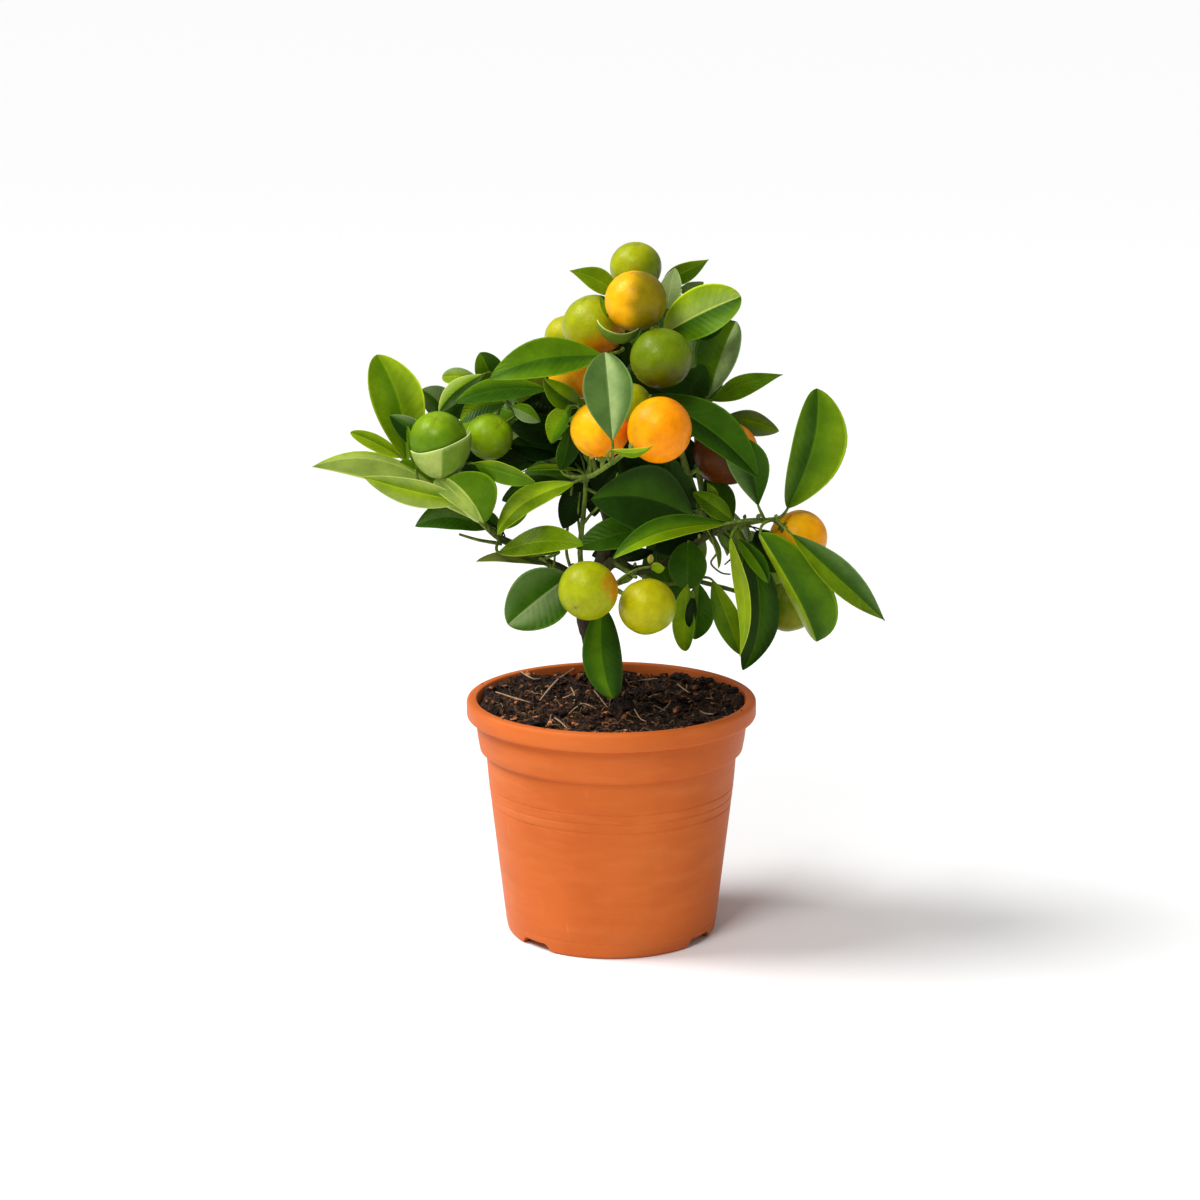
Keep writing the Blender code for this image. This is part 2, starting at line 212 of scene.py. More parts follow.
class Nodes:
    """Short way to build a node tree on a new material's Principled shader."""

    def __init__(self, name, specular, specular_tint=(1.0, 1.0, 1.0)):
        self.material = bpy.data.materials.new(name)
        self.material.use_nodes = True
        self.tree = self.material.node_tree
        self.shader = self.tree.nodes["Principled BSDF"]
        self.set("Specular IOR Level", specular)
        self.set("Specular Tint", (*specular_tint, 1.0))
        self.place = self.add("ShaderNodeTexCoord").outputs["Object"]

    def put(self, value, socket):
        """Link another node's output, or set a constant."""
        if hasattr(value, "is_output"):
            self.tree.links.new(value, socket)
        else:
            socket.default_value = value

    def set(self, name, value):
        self.put(value, self.shader.inputs[name])

    def add(self, kind, inputs=None, **settings):
        """New node with its settings, and its inputs by name or number."""
        made = self.tree.nodes.new(kind)
        for key, value in settings.items():
            setattr(made, key, value)
        for key, value in (inputs or {}).items():
            self.put(value, made.inputs[key])
        return made

    def math(self, operation, *values):
        return self.add("ShaderNodeMath", dict(enumerate(values)), operation=operation).outputs[0]

    def split(self, vector):
        return self.add("ShaderNodeSeparateXYZ", {0: vector}).outputs

    def stretched(self, *scale):
        """Place with each axis scaled."""
        made = self.add("ShaderNodeVectorMath", {0: self.place, 1: scale}, operation="MULTIPLY")
        return made.outputs[0]

    def noise(self, scale, detail=3.0, roughness=0.5, distortion=0.0, vector=None):
        made = self.add("ShaderNodeTexNoise", {
            "Vector": vector or self.place, "Scale": scale, "Detail": detail,
            "Roughness": roughness, "Distortion": distortion,
        })
        return made.outputs["Fac"]

    def cells(self, scale):
        made = self.add("ShaderNodeTexVoronoi", {"Vector": self.place, "Scale": scale}, feature="F1")
        return made.outputs["Distance"]

    def ramp(self, value, low, high, start=0.0, end=1.0):
        """Smooth step of a value, from start at low to end at high."""
        made = self.add("ShaderNodeMapRange", {
            "Value": value, "From Min": low, "From Max": high, "To Min": start, "To Max": end,
        }, interpolation_type="SMOOTHSTEP")
        return made.outputs["Result"]

    def mix(self, factor, first, second, blend="MIX"):
        colours = [c if hasattr(c, "is_output") else (*c, 1.0) for c in (first, second)]
        inputs = {"Factor": factor, 6: colours[0], 7: colours[1]}
        return self.add("ShaderNodeMix", inputs, data_type="RGBA", blend_type=blend).outputs[2]

    def shades(self, *factors):
        """The piece's own tint multiplied by each of the given colours."""
        tint = self.add("ShaderNodeAttribute", attribute_name="tint").outputs["Color"]
        return [self.mix(1.0, tint, factor, "MULTIPLY") for factor in factors]

    def finish(self, colour, roughness, *bumps):
        """Finished material; each bump is a height and its depth in metres."""
        self.set("Base Color", colour)
        self.set("Roughness", roughness)
        normal = None
        for height, depth in bumps:
            inputs = {"Strength": 1.0, "Distance": depth, "Height": height}
            if normal:
                inputs["Normal"] = normal
            normal = self.add("ShaderNodeBump", inputs).outputs["Normal"]
        if normal:
            self.set("Normal", normal)
        return self.material


def leaf_material(name, underside):
    """Waxy upper face, or matte paler lower face, with midrib, side veins and a light band along the edge,
    partly the leaf's paler edge and partly painted rim light.
    """
    n = Nodes(name, 0.06 if underside else 0.12, (0.75, 0.95, 0.40))
    crosswise, along, _ = n.split(n.add("ShaderNodeUVMap", uv_map="blade").outputs["UV"])
    across = n.math("ABSOLUTE", n.math("SUBTRACT", n.math("MULTIPLY", crosswise, 2.0), 1.0))
    side = n.math("GREATER_THAN", crosswise, 0.5)
    run = n.math("SUBTRACT", n.math("MULTIPLY", along, 12.0), n.math("MULTIPLY", across, 2.6))
    run = n.math("ADD", run, n.math("MULTIPLY", side, 0.45))
    run = n.math("ADD", run, n.math("MULTIPLY", n.noise(160.0, 2.0), 0.7))
    wave = n.math("ABSOLUTE", n.math("SUBTRACT", n.math("FRACT", run), 0.5))
    vein = n.math("MULTIPLY", n.ramp(wave, 0.0, 0.09, 1.0, 0.0), n.ramp(across, 0.75, 0.98, 1.0, 0.0))
    midrib = n.ramp(across, 0.02, 0.075, 1.0, 0.0)
    net = n.cells(900.0)
    blotch = n.noise(85.0, 4.0, 0.6)
    deep, bright, line, rim_light = n.shades(
        (0.74, 0.80, 0.70), (1.20, 1.14, 1.05), (1.9, 1.6, 1.7), (2.1, 1.8, 2.2))
    base = n.mix(n.ramp(blotch, 0.30, 0.72), deep, bright)
    base = n.mix(n.math("MULTIPLY", vein, 0.16 if underside else 0.07), base, line)
    base = n.mix(n.math("MULTIPLY", midrib, 0.55), base, line)
    # Light band along the edge: partly the leaf's paler edge, partly painted rim light.
    base = n.mix(n.math("MULTIPLY", n.ramp(across, 0.90, 0.97), 0.8), base, rim_light)
    if underside:
        rough = n.ramp(blotch, 0.2, 0.8, 0.52, 0.68)
        return n.finish(base, rough, (vein, 0.00006), (midrib, 0.0002), (net, 0.00004))
    rough = n.ramp(n.noise(140.0), 0.3, 0.75, 0.28, 0.46)
    return n.finish(base, rough, (n.ramp(wave, 0.0, 0.5), 0.00006), (vein, -0.00003), (net, 0.00002))


def rind_material():
    """Citrus rind with oil glands."""
    n = Nodes("rind", 0.20, (1.0, 0.90, 0.55))
    glands = n.cells(820.0)
    deep, bright = n.shades((0.90, 0.84, 0.75), (1.08, 1.08, 1.05))
    base = n.mix(n.ramp(n.noise(150.0, 4.0, 0.6), 0.3, 0.7), deep, bright)
    base = n.mix(n.ramp(glands, 0.0, 0.35, 0.35, 0.0), base, deep)
    rough = n.ramp(n.noise(260.0), 0.3, 0.7, 0.29, 0.38)
    return n.finish(base, rough, (n.ramp(glands, 0.0, 0.42), 0.00011), (n.noise(240.0), 0.00025))


def bark_material():
    """Young wood, streaked along its length, with small pale pores."""
    n = Nodes("bark_skin", 0.3)
    streak = n.noise(520.0, 4.0, 0.65, vector=n.stretched(1.0, 1.0, 0.22))
    patch = n.noise(110.0, 3.0, 0.6)
    pores = n.cells(380.0)
    deep, bright = n.shades((0.50, 0.48, 0.45), (1.35, 1.30, 1.20))
    base = n.mix(n.ramp(streak, 0.32, 0.68), deep, bright)
    base = n.mix(n.ramp(patch, 0.35, 0.75, 0.0, 0.5), base, deep)
    base = n.mix(n.ramp(pores, 0.0, 0.16, 0.6, 0.0), base, bright)
    return n.finish(base, n.ramp(patch, 0.3, 0.7, 0.60, 0.82), (streak, 0.0005), (pores, 0.0002))


def peat_material():
    """Moist peat whose colour follows its bump: painted shade makes the low grain and the clods' dips nearly
    black.
    """
    n = Nodes("peat_surface", 0.25)
    grain = n.noise(420.0, 6.0, 0.7)
    clod = n.noise(90.0, 4.0, 0.6)
    deep, bright = n.shades((0.08, 0.07, 0.06), (4.2, 3.2, 2.5))
    # Low grain and clod dips darken to near black, painted shade over the peat's own mottling; high grain is
    # lighter.
    base = n.mix(n.ramp(grain, 0.44, 0.66), deep, bright)
    base = n.mix(n.ramp(clod, 0.32, 0.60, 0.7, 0.0), base, deep)
    return n.finish(base, n.ramp(clod, 0.3, 0.7, 0.75, 0.98), (clod, 0.0016), (grain, 0.0014))


def fibre_material():
    """Dry roots and straw."""
    n = Nodes("fibre", 0.25)
    streak = n.noise(700.0, 3.0, 0.6)
    dull, plain = n.shades((0.55, 0.5, 0.45), (1.0, 1.0, 1.0))
    return n.finish(n.mix(n.ramp(streak, 0.3, 0.7), dull, plain), 0.8, (streak, 0.00015))


def pot_material():
    """Moulded terracotta-coloured plastic, faintly mottled, scuffed and dusty."""
    n = Nodes("pot_plastic", 0.14, (1.0, 0.82, 0.66))
    height = n.split(n.place)[2]
    cloud = n.noise(16.0, 4.0, 0.55, 0.4)
    flow = n.noise(26.0, 4.0, 0.6, vector=n.stretched(1.0, 1.0, 5.0))
    scuff = n.noise(160.0, 3.0, 0.6, vector=n.stretched(1.0, 1.0, 0.16))
    speck = n.cells(210.0)
    base = n.mix(n.ramp(cloud, 0.32, 0.70), srgb(190, 92, 36), srgb(203, 102, 43))
    base = n.mix(n.ramp(flow, 0.40, 0.75, 0.0, 0.28), base, srgb(216, 122, 64))
    base = n.mix(n.ramp(scuff, 0.66, 0.80, 0.0, 0.16), base, srgb(238, 168, 124))
    dust = n.math("MULTIPLY", n.ramp(height, 0.0, 0.022, 1.0, 0.0), n.ramp(flow, 0.3, 0.7))
    base = n.mix(n.math("MULTIPLY", dust, 0.3), base, srgb(150, 84, 50))
    splash = n.math("MULTIPLY", n.ramp(height, 0.012, 0.045, 1.0, 0.0), n.ramp(speck, 0.02, 0.10, 0.4, 0.0))
    base = n.mix(splash, base, srgb(120, 66, 38))
    rough = n.ramp(cloud, 0.3, 0.7, 0.42, 0.56)
    pimples = n.ramp(speck, 0.0, 0.09, 1.0, 0.0)
    return n.finish(base, rough, (n.noise(900.0, 2.0), 0.00004), (flow, 0.0003), (pimples, 0.00006))


LEAF_FACES = (leaf_material("leaf_top", False), leaf_material("leaf_under", True))
RIND = rind_material()
BARK = bark_material()
PEAT = peat_material()
FIBRE = fibre_material()
PLASTIC = pot_material()


# ---------------------------------------------------------------- pot

# Radius, height and corner rounding in mm, from the middle of the floor up and over
POT_SECTION = (
    (0.0, 6.8, 0.0), (51.6, 6.8, 2.0), (54.4, 10.0, 3.0), (63.6, 93.5, 1.2), (66.4, 98.0, 1.2),
    (68.2, 108.0, 6.0), (68.9, 121.0, 1.5), (69.9, 124.5, 1.0), (75.0, 124.5, 4.4),
    (75.0, 114.6, 4.2), (70.2, 114.9, 0.4), (69.8, 107.0, 8.0), (68.2, 97.9, 0.5),
    (65.1, 96.4, 0.5), (63.83, 80.1, 0.3), (63.35, 79.3, 0.3), (63.7, 78.5, 0.3),
    (63.27, 75.2, 0.3), (62.8, 74.4, 0.3), (63.15, 73.6, 0.3), (62.7, 70.3, 0.3),
    (62.2, 69.5, 0.3), (62.55, 68.7, 0.3), (55.75, 9.2, 0.6), (55.35, 8.0, 0.4),
    (55.55, 7.0, 0.5), (54.5, 1.0, 1.5), (53.2, 0.0, 0.4), (50.2, 0.0, 0.4), (49.8, 5.2, 0.8),
    (0.0, 5.2, 0.0),
)
POT_TURNS = 200
WARP = 0.12
# Headings of the foot's notches in degrees, their outline (across, up) and their depth range
NOTCH_ANGLES = (-46.0, 56.5, 136.0, -134.0)
NOTCH_OUTLINE = ((-12.6, -2.0), (12.6, -2.0), (10.4, 1.0), (8.6, 3.6), (7.2, 4.5),
                 (-7.2, 4.5), (-8.6, 3.6), (-10.4, 1.0))
NOTCH_REACH = (46.2, 59.2)


def rounded(section, steps=5):
    """Section with each corner cut by a small curve."""
    points = [Vector((r, z)) for r, z, _ in section]
    out = []
    for i, (_, _, radius) in enumerate(section):
        here = points[i]
        if radius == 0.0:
            out.append(here)
            continue
        back = points[i - 1] - here
        ahead = points[i + 1] - here
        reach = min(radius, 0.49 * back.length, 0.49 * ahead.length)
        start = here + back.normalized() * reach
        end = here + ahead.normalized() * reach
        out.extend(bow_curve(start, here, end, k / steps) for k in range(steps + 1))
    return out


def face_outwards(mesh):
    """Turn all faces of a closed mesh outwards."""
    bm = bmesh.new()
    bm.from_mesh(mesh)
    bmesh.ops.recalc_face_normals(bm, faces=bm.faces)
    bm.to_mesh(mesh)
    bm.free()


def make_pot():
    """Pot turned from its section, with the foot notches cut."""
    section = rounded(POT_SECTION)
    shape = Shape()
    rings = []
    for radius, height in section[1:-1]:
        ring = []
        for cos, sin in around(POT_TURNS):
            warp = WARP * noise.noise(Vector((cos, sin, height * 0.02)) * 1.3)
            r = radius + warp * smooth(20.0, 110.0, height)
            ring.append(shape.vert(Vector((r * cos, r * sin, height)) * MM))
        rings.append(ring)
    shape.skin(rings, closed=False)
    top = shape.vert((0.0, 0.0, section[0].y * MM))
    under = shape.vert((0.0, 0.0, section[-1].y * MM))
    for i in range(POT_TURNS):
        j = (i + 1) % POT_TURNS
        shape.face((rings[0][j], rings[0][i], top))
        shape.face((rings[-1][i], rings[-1][j], under))
    pot = shape.make("nursery_pot", [PLASTIC], "terracotta_plastic", ["pot"])
    face_outwards(pot.data)

    notches = Shape()
    for angle in NOTCH_ANGLES:
        heading = math.radians(angle)
        out = Vector((math.sin(heading), -math.cos(heading), 0.0))
        across = Vector((math.cos(heading), math.sin(heading), 0.0))
        notches.skin([
            [notches.vert((out * r + across * x + UP * z) * MM) for x, z in NOTCH_OUTLINE]
            for r in NOTCH_REACH
        ])
    cutter = place_object("notches", notches.mesh("notches"))
    face_outwards(cutter.data)
    cut = pot.modifiers.new("Notches", "BOOLEAN")
    cut.object = cutter
    cut.operation = "DIFFERENCE"
    cut.solver = "EXACT"
    finished = pot.evaluated_get(bpy.context.evaluated_depsgraph_get())
    pot.data = bpy.data.meshes.new_from_object(finished)
    pot.modifiers.clear()
    bpy.data.objects.remove(cutter, do_unlink=True)
    pot.data.set_sharp_from_angle(angle=math.radians(50.0))


# ---------------------------------------------------------------- soil

SOIL_LEVEL = 119.0
SOIL_HIGHEST = 123.6
SOIL_RADIUS = 68.4
RIM_TOP = 124.4
STRAW_HEIGHT = 121.0
CRUMB_COUNT = 950
ROOT_COUNT = 240
# Farthest from the middle that crumbs, their edges, roots and their ends lie
CRUMB_REACH = 66.0
CRUMB_EDGE = 67.6
ROOT_REACH = 62.0
ROOT_EDGE = 66.8
PEAT_BROWN = srgb(56, 38, 27)
# Radius and height of the peat's sides, from its floor up
SOIL_SIDES = ((49.0, 8.6), (53.4, 12.0), (62.6, 93.0), (66.6, 104.0))
SOIL_TURNS = 150
SOIL_BANDS = 46
# Heading in degrees and lift of the few crumbs that lie on the rim
RIM_CRUMBS = ((-140.0, 0.4), (-118.0, 0.5), (-96.0, 0.35), (-60.0, 0.5), (-24.0, 0.6), (160.0, 0.5))
# Three board points and the radius of each straw that lies on the peat
STRAWS = (
    ((-60, 125), (-51, 123), (-42, 122), 0.45), ((-37, 123), (-28, 131), (-18, 139), 0.5),
    ((-30, 127), (-24, 123), (-17, 124), 0.35), ((14, 121), (22, 126), (31, 127), 0.4),
    ((34, 129), (42, 126), (50, 127), 0.35), ((-48, 134), (-40, 131), (-33, 134), 0.4),
    ((22, 118), (30, 119), (36, 117), 0.4), ((40, 121), (45, 123), (52, 121), 0.35),
    ((-22, 117), (-15, 119), (-8, 117), 0.4), ((9, 132), (16, 134), (24, 133), 0.35),
    ((-31, 116), (-27, 111), (-23, 107), 0.4), ((43, 119), (48, 117), (53, 115.5), 0.45),
    ((31, 122), (26, 119), (19, 114), 0.4), ((-9, 124), (-6, 121), (-2, 117), 0.35),
    ((12, 115), (15, 112.5), (18, 111), 0.4), ((-21, 129), (-19, 123), (-21, 117), 0.4),
)


def soil_height(x, y):
    """Height in mm of the peat's surface at a point in mm."""
    reach = math.hypot(x, y)
    spot = Vector((x, y, 0.0))
    height = SOIL_LEVEL
    height += 3.4 * noise.noise(spot * 0.045 + Vector((3.1, 0.4, 0.0)))
    height += 3.4 * noise.noise(spot * 0.13 + Vector((0.0, 7.7, 0.0)))
    height += 2.6 * noise.noise(spot * 0.33 + Vector((5.0, 0.0, 2.0)))
    height += 1.4 * abs(noise.noise(spot * 0.8))
    heading = math.degrees(math.atan2(y, x))
    for lift, middle, width in ((3.4, 146.0, 22.0), (4.2, 26.0, 26.0), (1.8, -150.0, 40.0)):
        height += smooth(38.0, 66.0, reach) * lift * bell(heading, middle, width)
    height -= 1.2 * smooth(52.0, 68.0, reach) * bell(heading, 70.0, 20.0)
    height += 2.6 * math.exp(-(x ** 2 + (y - 4.0) ** 2) / 260.0)
    return min(height, SOIL_HIGHEST)


def painted_light_patch(x, y):
    """Strength, from 0 to 1, of the painted light that makes the peat and its crumbs lighter at the front
    left, at a point in mm.
    """
    return bell(x, -30.0, 24.0) * bell(y, -22.0, 26.0)


def shadiness(x, y):
    """Strength, from 0 to 1, of the painted shade that darkens the peat beside the stem, under the crown."""
    return bell(x, 16.0, 22.0) * bell(y, -4.0, 28.0)


def on_soil(x, y, lift=0.0):
    """Point in metres at a lift in mm above the peat."""
    return Vector((x, y, soil_height(x, y) + lift)) * MM


def strewn(rng, radius):
    """Random point in mm inside a circle, and its distance from the middle."""
    reach = radius * math.sqrt(rng.random())
    a = rng.uniform(0.0, 2.0 * math.pi)
    return reach * math.cos(a), reach * math.sin(a), reach


def make_soil():
    """Closed peat body with a lumpy top."""
    shape = Shape()
    rings = [
        [shape.vert(Vector((r * cos, r * sin, z)) * MM, PEAT_BROWN) for cos, sin in around(SOIL_TURNS)]
        for r, z in SOIL_SIDES
    ]
    for band in range(SOIL_BANDS):
        r = SOIL_RADIUS * (1.0 - band / SOIL_BANDS) + 0.4
        ring = []
        for cos, sin in around(SOIL_TURNS):
            x = r * cos
            y = r * sin
            shade = 0.8 + 0.5 * noise.noise(Vector((x, y, 9.0)) * 0.09)
            # Painted light brightens the peat at the front left, and painted shade darkens it beside the
            # stem, under the crown.
            shade *= (1.0 + 0.8 * painted_light_patch(x, y)) * (1.0 - 0.55 * shadiness(x, y))
            ring.append(shape.vert(on_soil(x, y), PEAT_BROWN * shade))
        rings.append(ring)
    shape.skin(rings)
    shape.make("soil_bed", [PEAT], "peat", ["soil"])


def add_lump(shape, centre, size, rng, tint):
    """Irregular closed crumb."""
    bm = bmesh.new()
    bmesh.ops.create_icosphere(bm, subdivisions=2 if size > 1.3 else 1, radius=1.0)
    offset = Vector([rng.uniform(-50, 50) for _ in range(3)])
    stretch = (rng.uniform(0.7, 1.5), rng.uniform(0.6, 1.1), rng.uniform(0.45, 1.0) * 0.7)
    spin = Matrix.Rotation(rng.uniform(0.0, math.pi), 3, "Z")
    lean = Matrix.Rotation(-rng.uniform(-0.5, 0.5), 3, "Y")
    form = spin @ lean @ Matrix.Diagonal(stretch) * size * MM
    numbers = []
    for v in bm.verts:
        lumpy = v.co * (1.0 + 0.45 * noise.noise(v.co * 1.4 + offset))
        numbers.append(shape.vert(centre + form @ lumpy, tint))
    for f in bm.faces:
        shape.face([numbers[v.index] for v in f.verts])
    bm.free()


def add_tube(shape, points, radii, sides, tint, rough):
    """Round tube along points, in one tint or one for each point."""
    rings = []
    side = Vector((0.31, 0.93, 0.21))
    last = len(points) - 1
    for i, point in enumerate(points):
        along = (points[min(i + 1, last)] - points[max(i - 1, 0)]).normalized()
        side = (side - side.dot(along) * along).normalized()
        other = along.cross(side)
        colour = tint[i] if isinstance(tint, list) else tint
        ring = []
        for cos, sin in around(sides):
            out = cos * side + sin * other
            swell = 1.0 + rough * noise.noise(point * 260.0 + out * 1.3)
            ring.append(shape.vert(point + out * radii[i] * swell * MM, colour))
        rings.append(ring)
    shape.skin(rings)


def make_crumbs(rng):
    """Loose crumbs on the peat and a few on the rim."""
    shape = Shape()
    for _ in range(CRUMB_COUNT):
        x, y, reach = strewn(rng, CRUMB_REACH)
        size = min(rng.uniform(0.5, 1.3) + 2.0 * rng.random() ** 6, CRUMB_EDGE - reach)
        if size < 0.3:
            continue
        # Crumbs beside the stem are painted darker, painted shade, and pale crumbs are commoner at the front
        # left, painted light.
        crown_shade = shadiness(x, y)
        tint = srgb(58, 37, 24) * rng.uniform(0.15, 1.9) * (1.0 - 0.8 * crown_shade)
        if rng.random() < 0.26 * (1.0 - crown_shade) + 0.36 * painted_light_patch(x, y):
            tint = srgb(134, 96, 66) * rng.uniform(0.6, 1.5)
        add_lump(shape, on_soil(x, y, 0.25 * size), size, rng, tint)
    for heading, lift in RIM_CRUMBS:
        a = math.radians(heading)
        r = rng.uniform(70.4, 72.6)
        place = Vector((r * math.cos(a), r * math.sin(a), RIM_TOP + lift * 0.5)) * MM
        add_lump(shape, place, lift, rng, srgb(58, 38, 26))
    shape.make("soil_crumbs", [PEAT], "peat")


def make_roots(rng):
    """Straw and short curved roots that lie on the peat."""
    shape = Shape()
    for *board_points, thick in STRAWS:
        spots = [seen_at_height(u, v, STRAW_HEIGHT) / MM for u, v in board_points]
        path = spline([on_soil(spot.x, spot.y, 1.7) for spot in spots], 8)
        ends = [min(1.0, 0.15 + i / len(path)) for i in range(len(path))]
        radii = [thick * (0.6 + 0.4 * math.sin(math.pi * end)) for end in ends]
        add_tube(shape, path, radii, 6, srgb(196, 164, 132), 0.3)
    for _ in range(ROOT_COUNT):
        x, y, _ = strewn(rng, ROOT_REACH)
        heading = rng.uniform(0.0, 2.0 * math.pi)
        length = rng.uniform(3.0, 14.0)
        bend = rng.uniform(-1.6, 1.6)
        points = []
        for k in range(7):
            t = k / 6.0
            turn = heading + bend * (t - 0.5)
            px = x + math.cos(turn) * length * (t - 0.5)
            py = y + math.sin(turn) * length * (t - 0.5)
            if math.hypot(px, py) > ROOT_EDGE:
                break
            points.append(on_soil(px, py, 0.35 + 1.6 * math.sin(math.pi * t) * rng.random()))
        if len(points) < 4:
            continue
        path = spline(points, 3)
        thick = rng.uniform(0.12, 0.38)
        pale = rng.random() < 0.35
        tint = (srgb(150, 118, 84) if pale else srgb(84, 60, 42)) * rng.uniform(0.6, 1.2)
        add_tube(shape, path, [thick] * len(path), 5, tint, 0.3)
    shape.make("soil_roots", [FIBRE], "peat")


# ---------------------------------------------------------------- wood

# Points (across, up, depth) and the radius at both ends, as in the part's source
TRUNK = (((0, 112, 10), (-1, 122, 10), (-3.5, 136, 8), (-9, 153, 6), (-13, 167, 4), (-12, 181, 4)), 6.4, 4.8)
LIMBS = (
    (((-13, 172, 4), (-6, 193, 6), (-2, 206, 10), (4, 222, 14), (6, 240, 14), (4, 262, 10),
      (1, 284, 6), (4, 306, 4), (15, 322, 8)), 4.2, 1.5),
    (((-12, 178, 4), (0, 195, 2), (12, 191, 0), (30, 196, -2), (50, 210, -4), (60, 214.5, -6),
      (72, 216.5, -14), (84, 218, -22)), 3.4, 1.0),
    (((-13, 176, 4), (-22, 189, 2), (-34, 196, 0), (-46, 203, -6), (-57, 208, -12),
      (-68, 218, -16)), 3.0, 1.7),
    (((-66, 216, -15), (-74, 230, -10), (-86, 242, -5), (-101, 245, -6)), 1.7, 1.1),
    (((-14, 184, 3), (-16, 198, 0), (-15.5, 210, -2), (-14, 224, -6), (-13, 240, -10)), 1.6, 1.0),
    (((6, 240, 14), (-12, 247, 16), (-30, 252, 14), (-45, 268, 14), (-57, 284, 8)), 1.8, 0.9),
    (((50, 210, -4), (47, 228, 10), (44, 246, 16), (43, 266, 12), (42, 286, 6), (36, 306, -3)), 2.0, 1.0),
    (((12, 191, 0), (26, 184, 4), (42, 186, 2)), 1.6, 1.0),
    (((-2, 206, 10), (-4, 222, 28), (-20, 240, 44), (-26, 252, 50)), 2.4, 1.1),
    (((-2, 206, 10), (2, 214, 30), (14, 232, 50), (20, 252, 52)), 2.4, 1.1),
    (((1, 284, 6), (0, 296, 26), (0, 300, 40)), 1.4, 0.9),
    (((2, 214, 30), (28, 214, 36), (56, 212, 36)), 1.6, 1.0),
    (((-8, 189, 5), (-20, 194, 22)), 1.5, 1.0),
    (((1, 211.5, 25), (18, 212, 44)), 1.5, 1.0),
    (((12, 191, 0), (8, 186, -22), (-4, 182, -36)), 1.6, 1.0),
    (((50, 210, -4), (40, 238, -14), (33, 260, -32)), 1.8, 1.6),
    (((-13, 238, -10), (-12, 240, -26), (-9, 241, -42), (0, 247, -70)), 1.6, 1.0),
)
# Thin twigs that carry no leaf of their own any more
TWIGS = (
    (((-20, 190, 2), (-23, 200, 2), (-22.5, 214, 2), (-20, 236, 0)), 1.0, 0.7),
    (((-15.5, 208, -2), (-17, 218, -2), (-16, 232, -4)), 0.8, 0.5),
    (((-13, 238, -10), (-10.5, 246, -14), (-13, 251, -16), (-13.5, 256, -18)), 1.4, 1.3),
    (((-14, 216, -4), (-10, 221, -8), (0, 231, -14), (2, 236, -16)), 0.8, 0.6),
    (((50, 208, -8), (54, 201, -10), (51, 195, -12), (56, 190, -12), (61, 189, -10)), 0.7, 0.4),
    (((54, 211, -6), (57, 204, -4), (62, 199, -4), (58, 194, -4)), 0.7, 0.4),
    (((2, 195, 0), (8, 191, -20), (12.5, 187.5, -40)), 1.2, 0.9),
    (((-32, 196, 0), (-30, 192, -6), (-29, 199, -10)), 0.9, 0.6),
    (((-78, 210, -8), (-68, 207, -10), (-56, 205, -10)), 0.6, 1.1),
)
BUD_RINGS = 7
# Across, up, depth and size of the buds of each colour
BUDS = (
    (srgb(122, 150, 60), (
        (75, 219, -16, 2.0), (68, 219, -11, 1.6), (34, 199, -3, 1.6), (-57, 210, -13, 1.6),
        (-14, 241, 6, 1.8), (3, 241, -14, 1.2), (-8, 244, -42, 1.5), (84, 219, -22, 1.8),
        (45, 209, -5, 1.5), (12, 194, -1, 1.6), (-101, 246, -12, 1.4),
    )),
    (srgb(190, 180, 70), (
        (-13.5, 257, -14, 2.2), (20, 197, -44, 2.6), (-10, 251, -46, 2.3),
    )),
)


def nearest_on_limbs(spot):
    """Closest point to a spot on the middle lines of all limbs."""
    best = None
    for points, _, _ in (TRUNK, *LIMBS):
        path = [seen(*point) for point in points]
        for a, b in zip(path, path[1:]):
            part = max(0.0, min(1.0, (spot - a).dot(b - a) / (b - a).length_squared))
            found = a.lerp(b, part)
            if best is None or (found - spot).length < (best - spot).length:
                best = found
    return best


def wood_tint(radius, place):
    """Green when thin and young, grey-brown when thick; the thinnest stalks are dark, partly the dark of
    thin twigs and partly painted shade for the stalks inside the crown.
    """
    # The darkest green, on the thinnest stalks, is painted shade for the stalks inside the crown, and partly
    # the dark of thin twigs.
    colour = srgb(34, 48, 14).lerp(srgb(102, 126, 32), smooth(0.44, 0.60, radius))
    colour = colour.lerp(srgb(58, 62, 24), smooth(1.15, 2.3, radius))
    colour = colour.lerp(srgb(58, 46, 30), smooth(2.8, 4.6, radius))
    return colour * (1.0 + 0.3 * noise.noise(place * 120.0))


def add_branch(shape, points, thick, thin, per_span=6):
    """Smooth tapering branch with knuckles, tinted by thickness."""
    path = spline(points, per_span)
    last = len(path) - 1
    radii = []
    for i, place in enumerate(path):
        radius = thick + (thin - thick) * i / last
        knuckle = 0.16 * max(0.0, noise.noise(place * 70.0)) + 0.10 * noise.noise(place * 33.0)
        radii.append(radius * (1.0 + knuckle))
    tints = [wood_tint(radius, place) for radius, place in zip(radii, path)]
    add_tube(shape, path, radii, 16 if thick > 4 else 10 if thick > 1.3 else 7, tints, 0.12)


def add_turned(shape, centre, axis, hint, rings, sides, tint):
    """Closed form about an axis, from rings of height, radius and depth of five lobes in mm."""
    axis, side, other = square_to(axis, hint)
    made = []
    for height, radius, lobes in rings:
        ring = []
        for k, (cos, sin) in enumerate(around(sides)):
            reach = radius + lobes * math.cos(10.0 * math.pi * k / sides)
            ring.append(shape.vert(centre + ((side * cos + other * sin) * reach + axis * height) * MM, tint))
        made.append(ring)
    shape.skin(made)


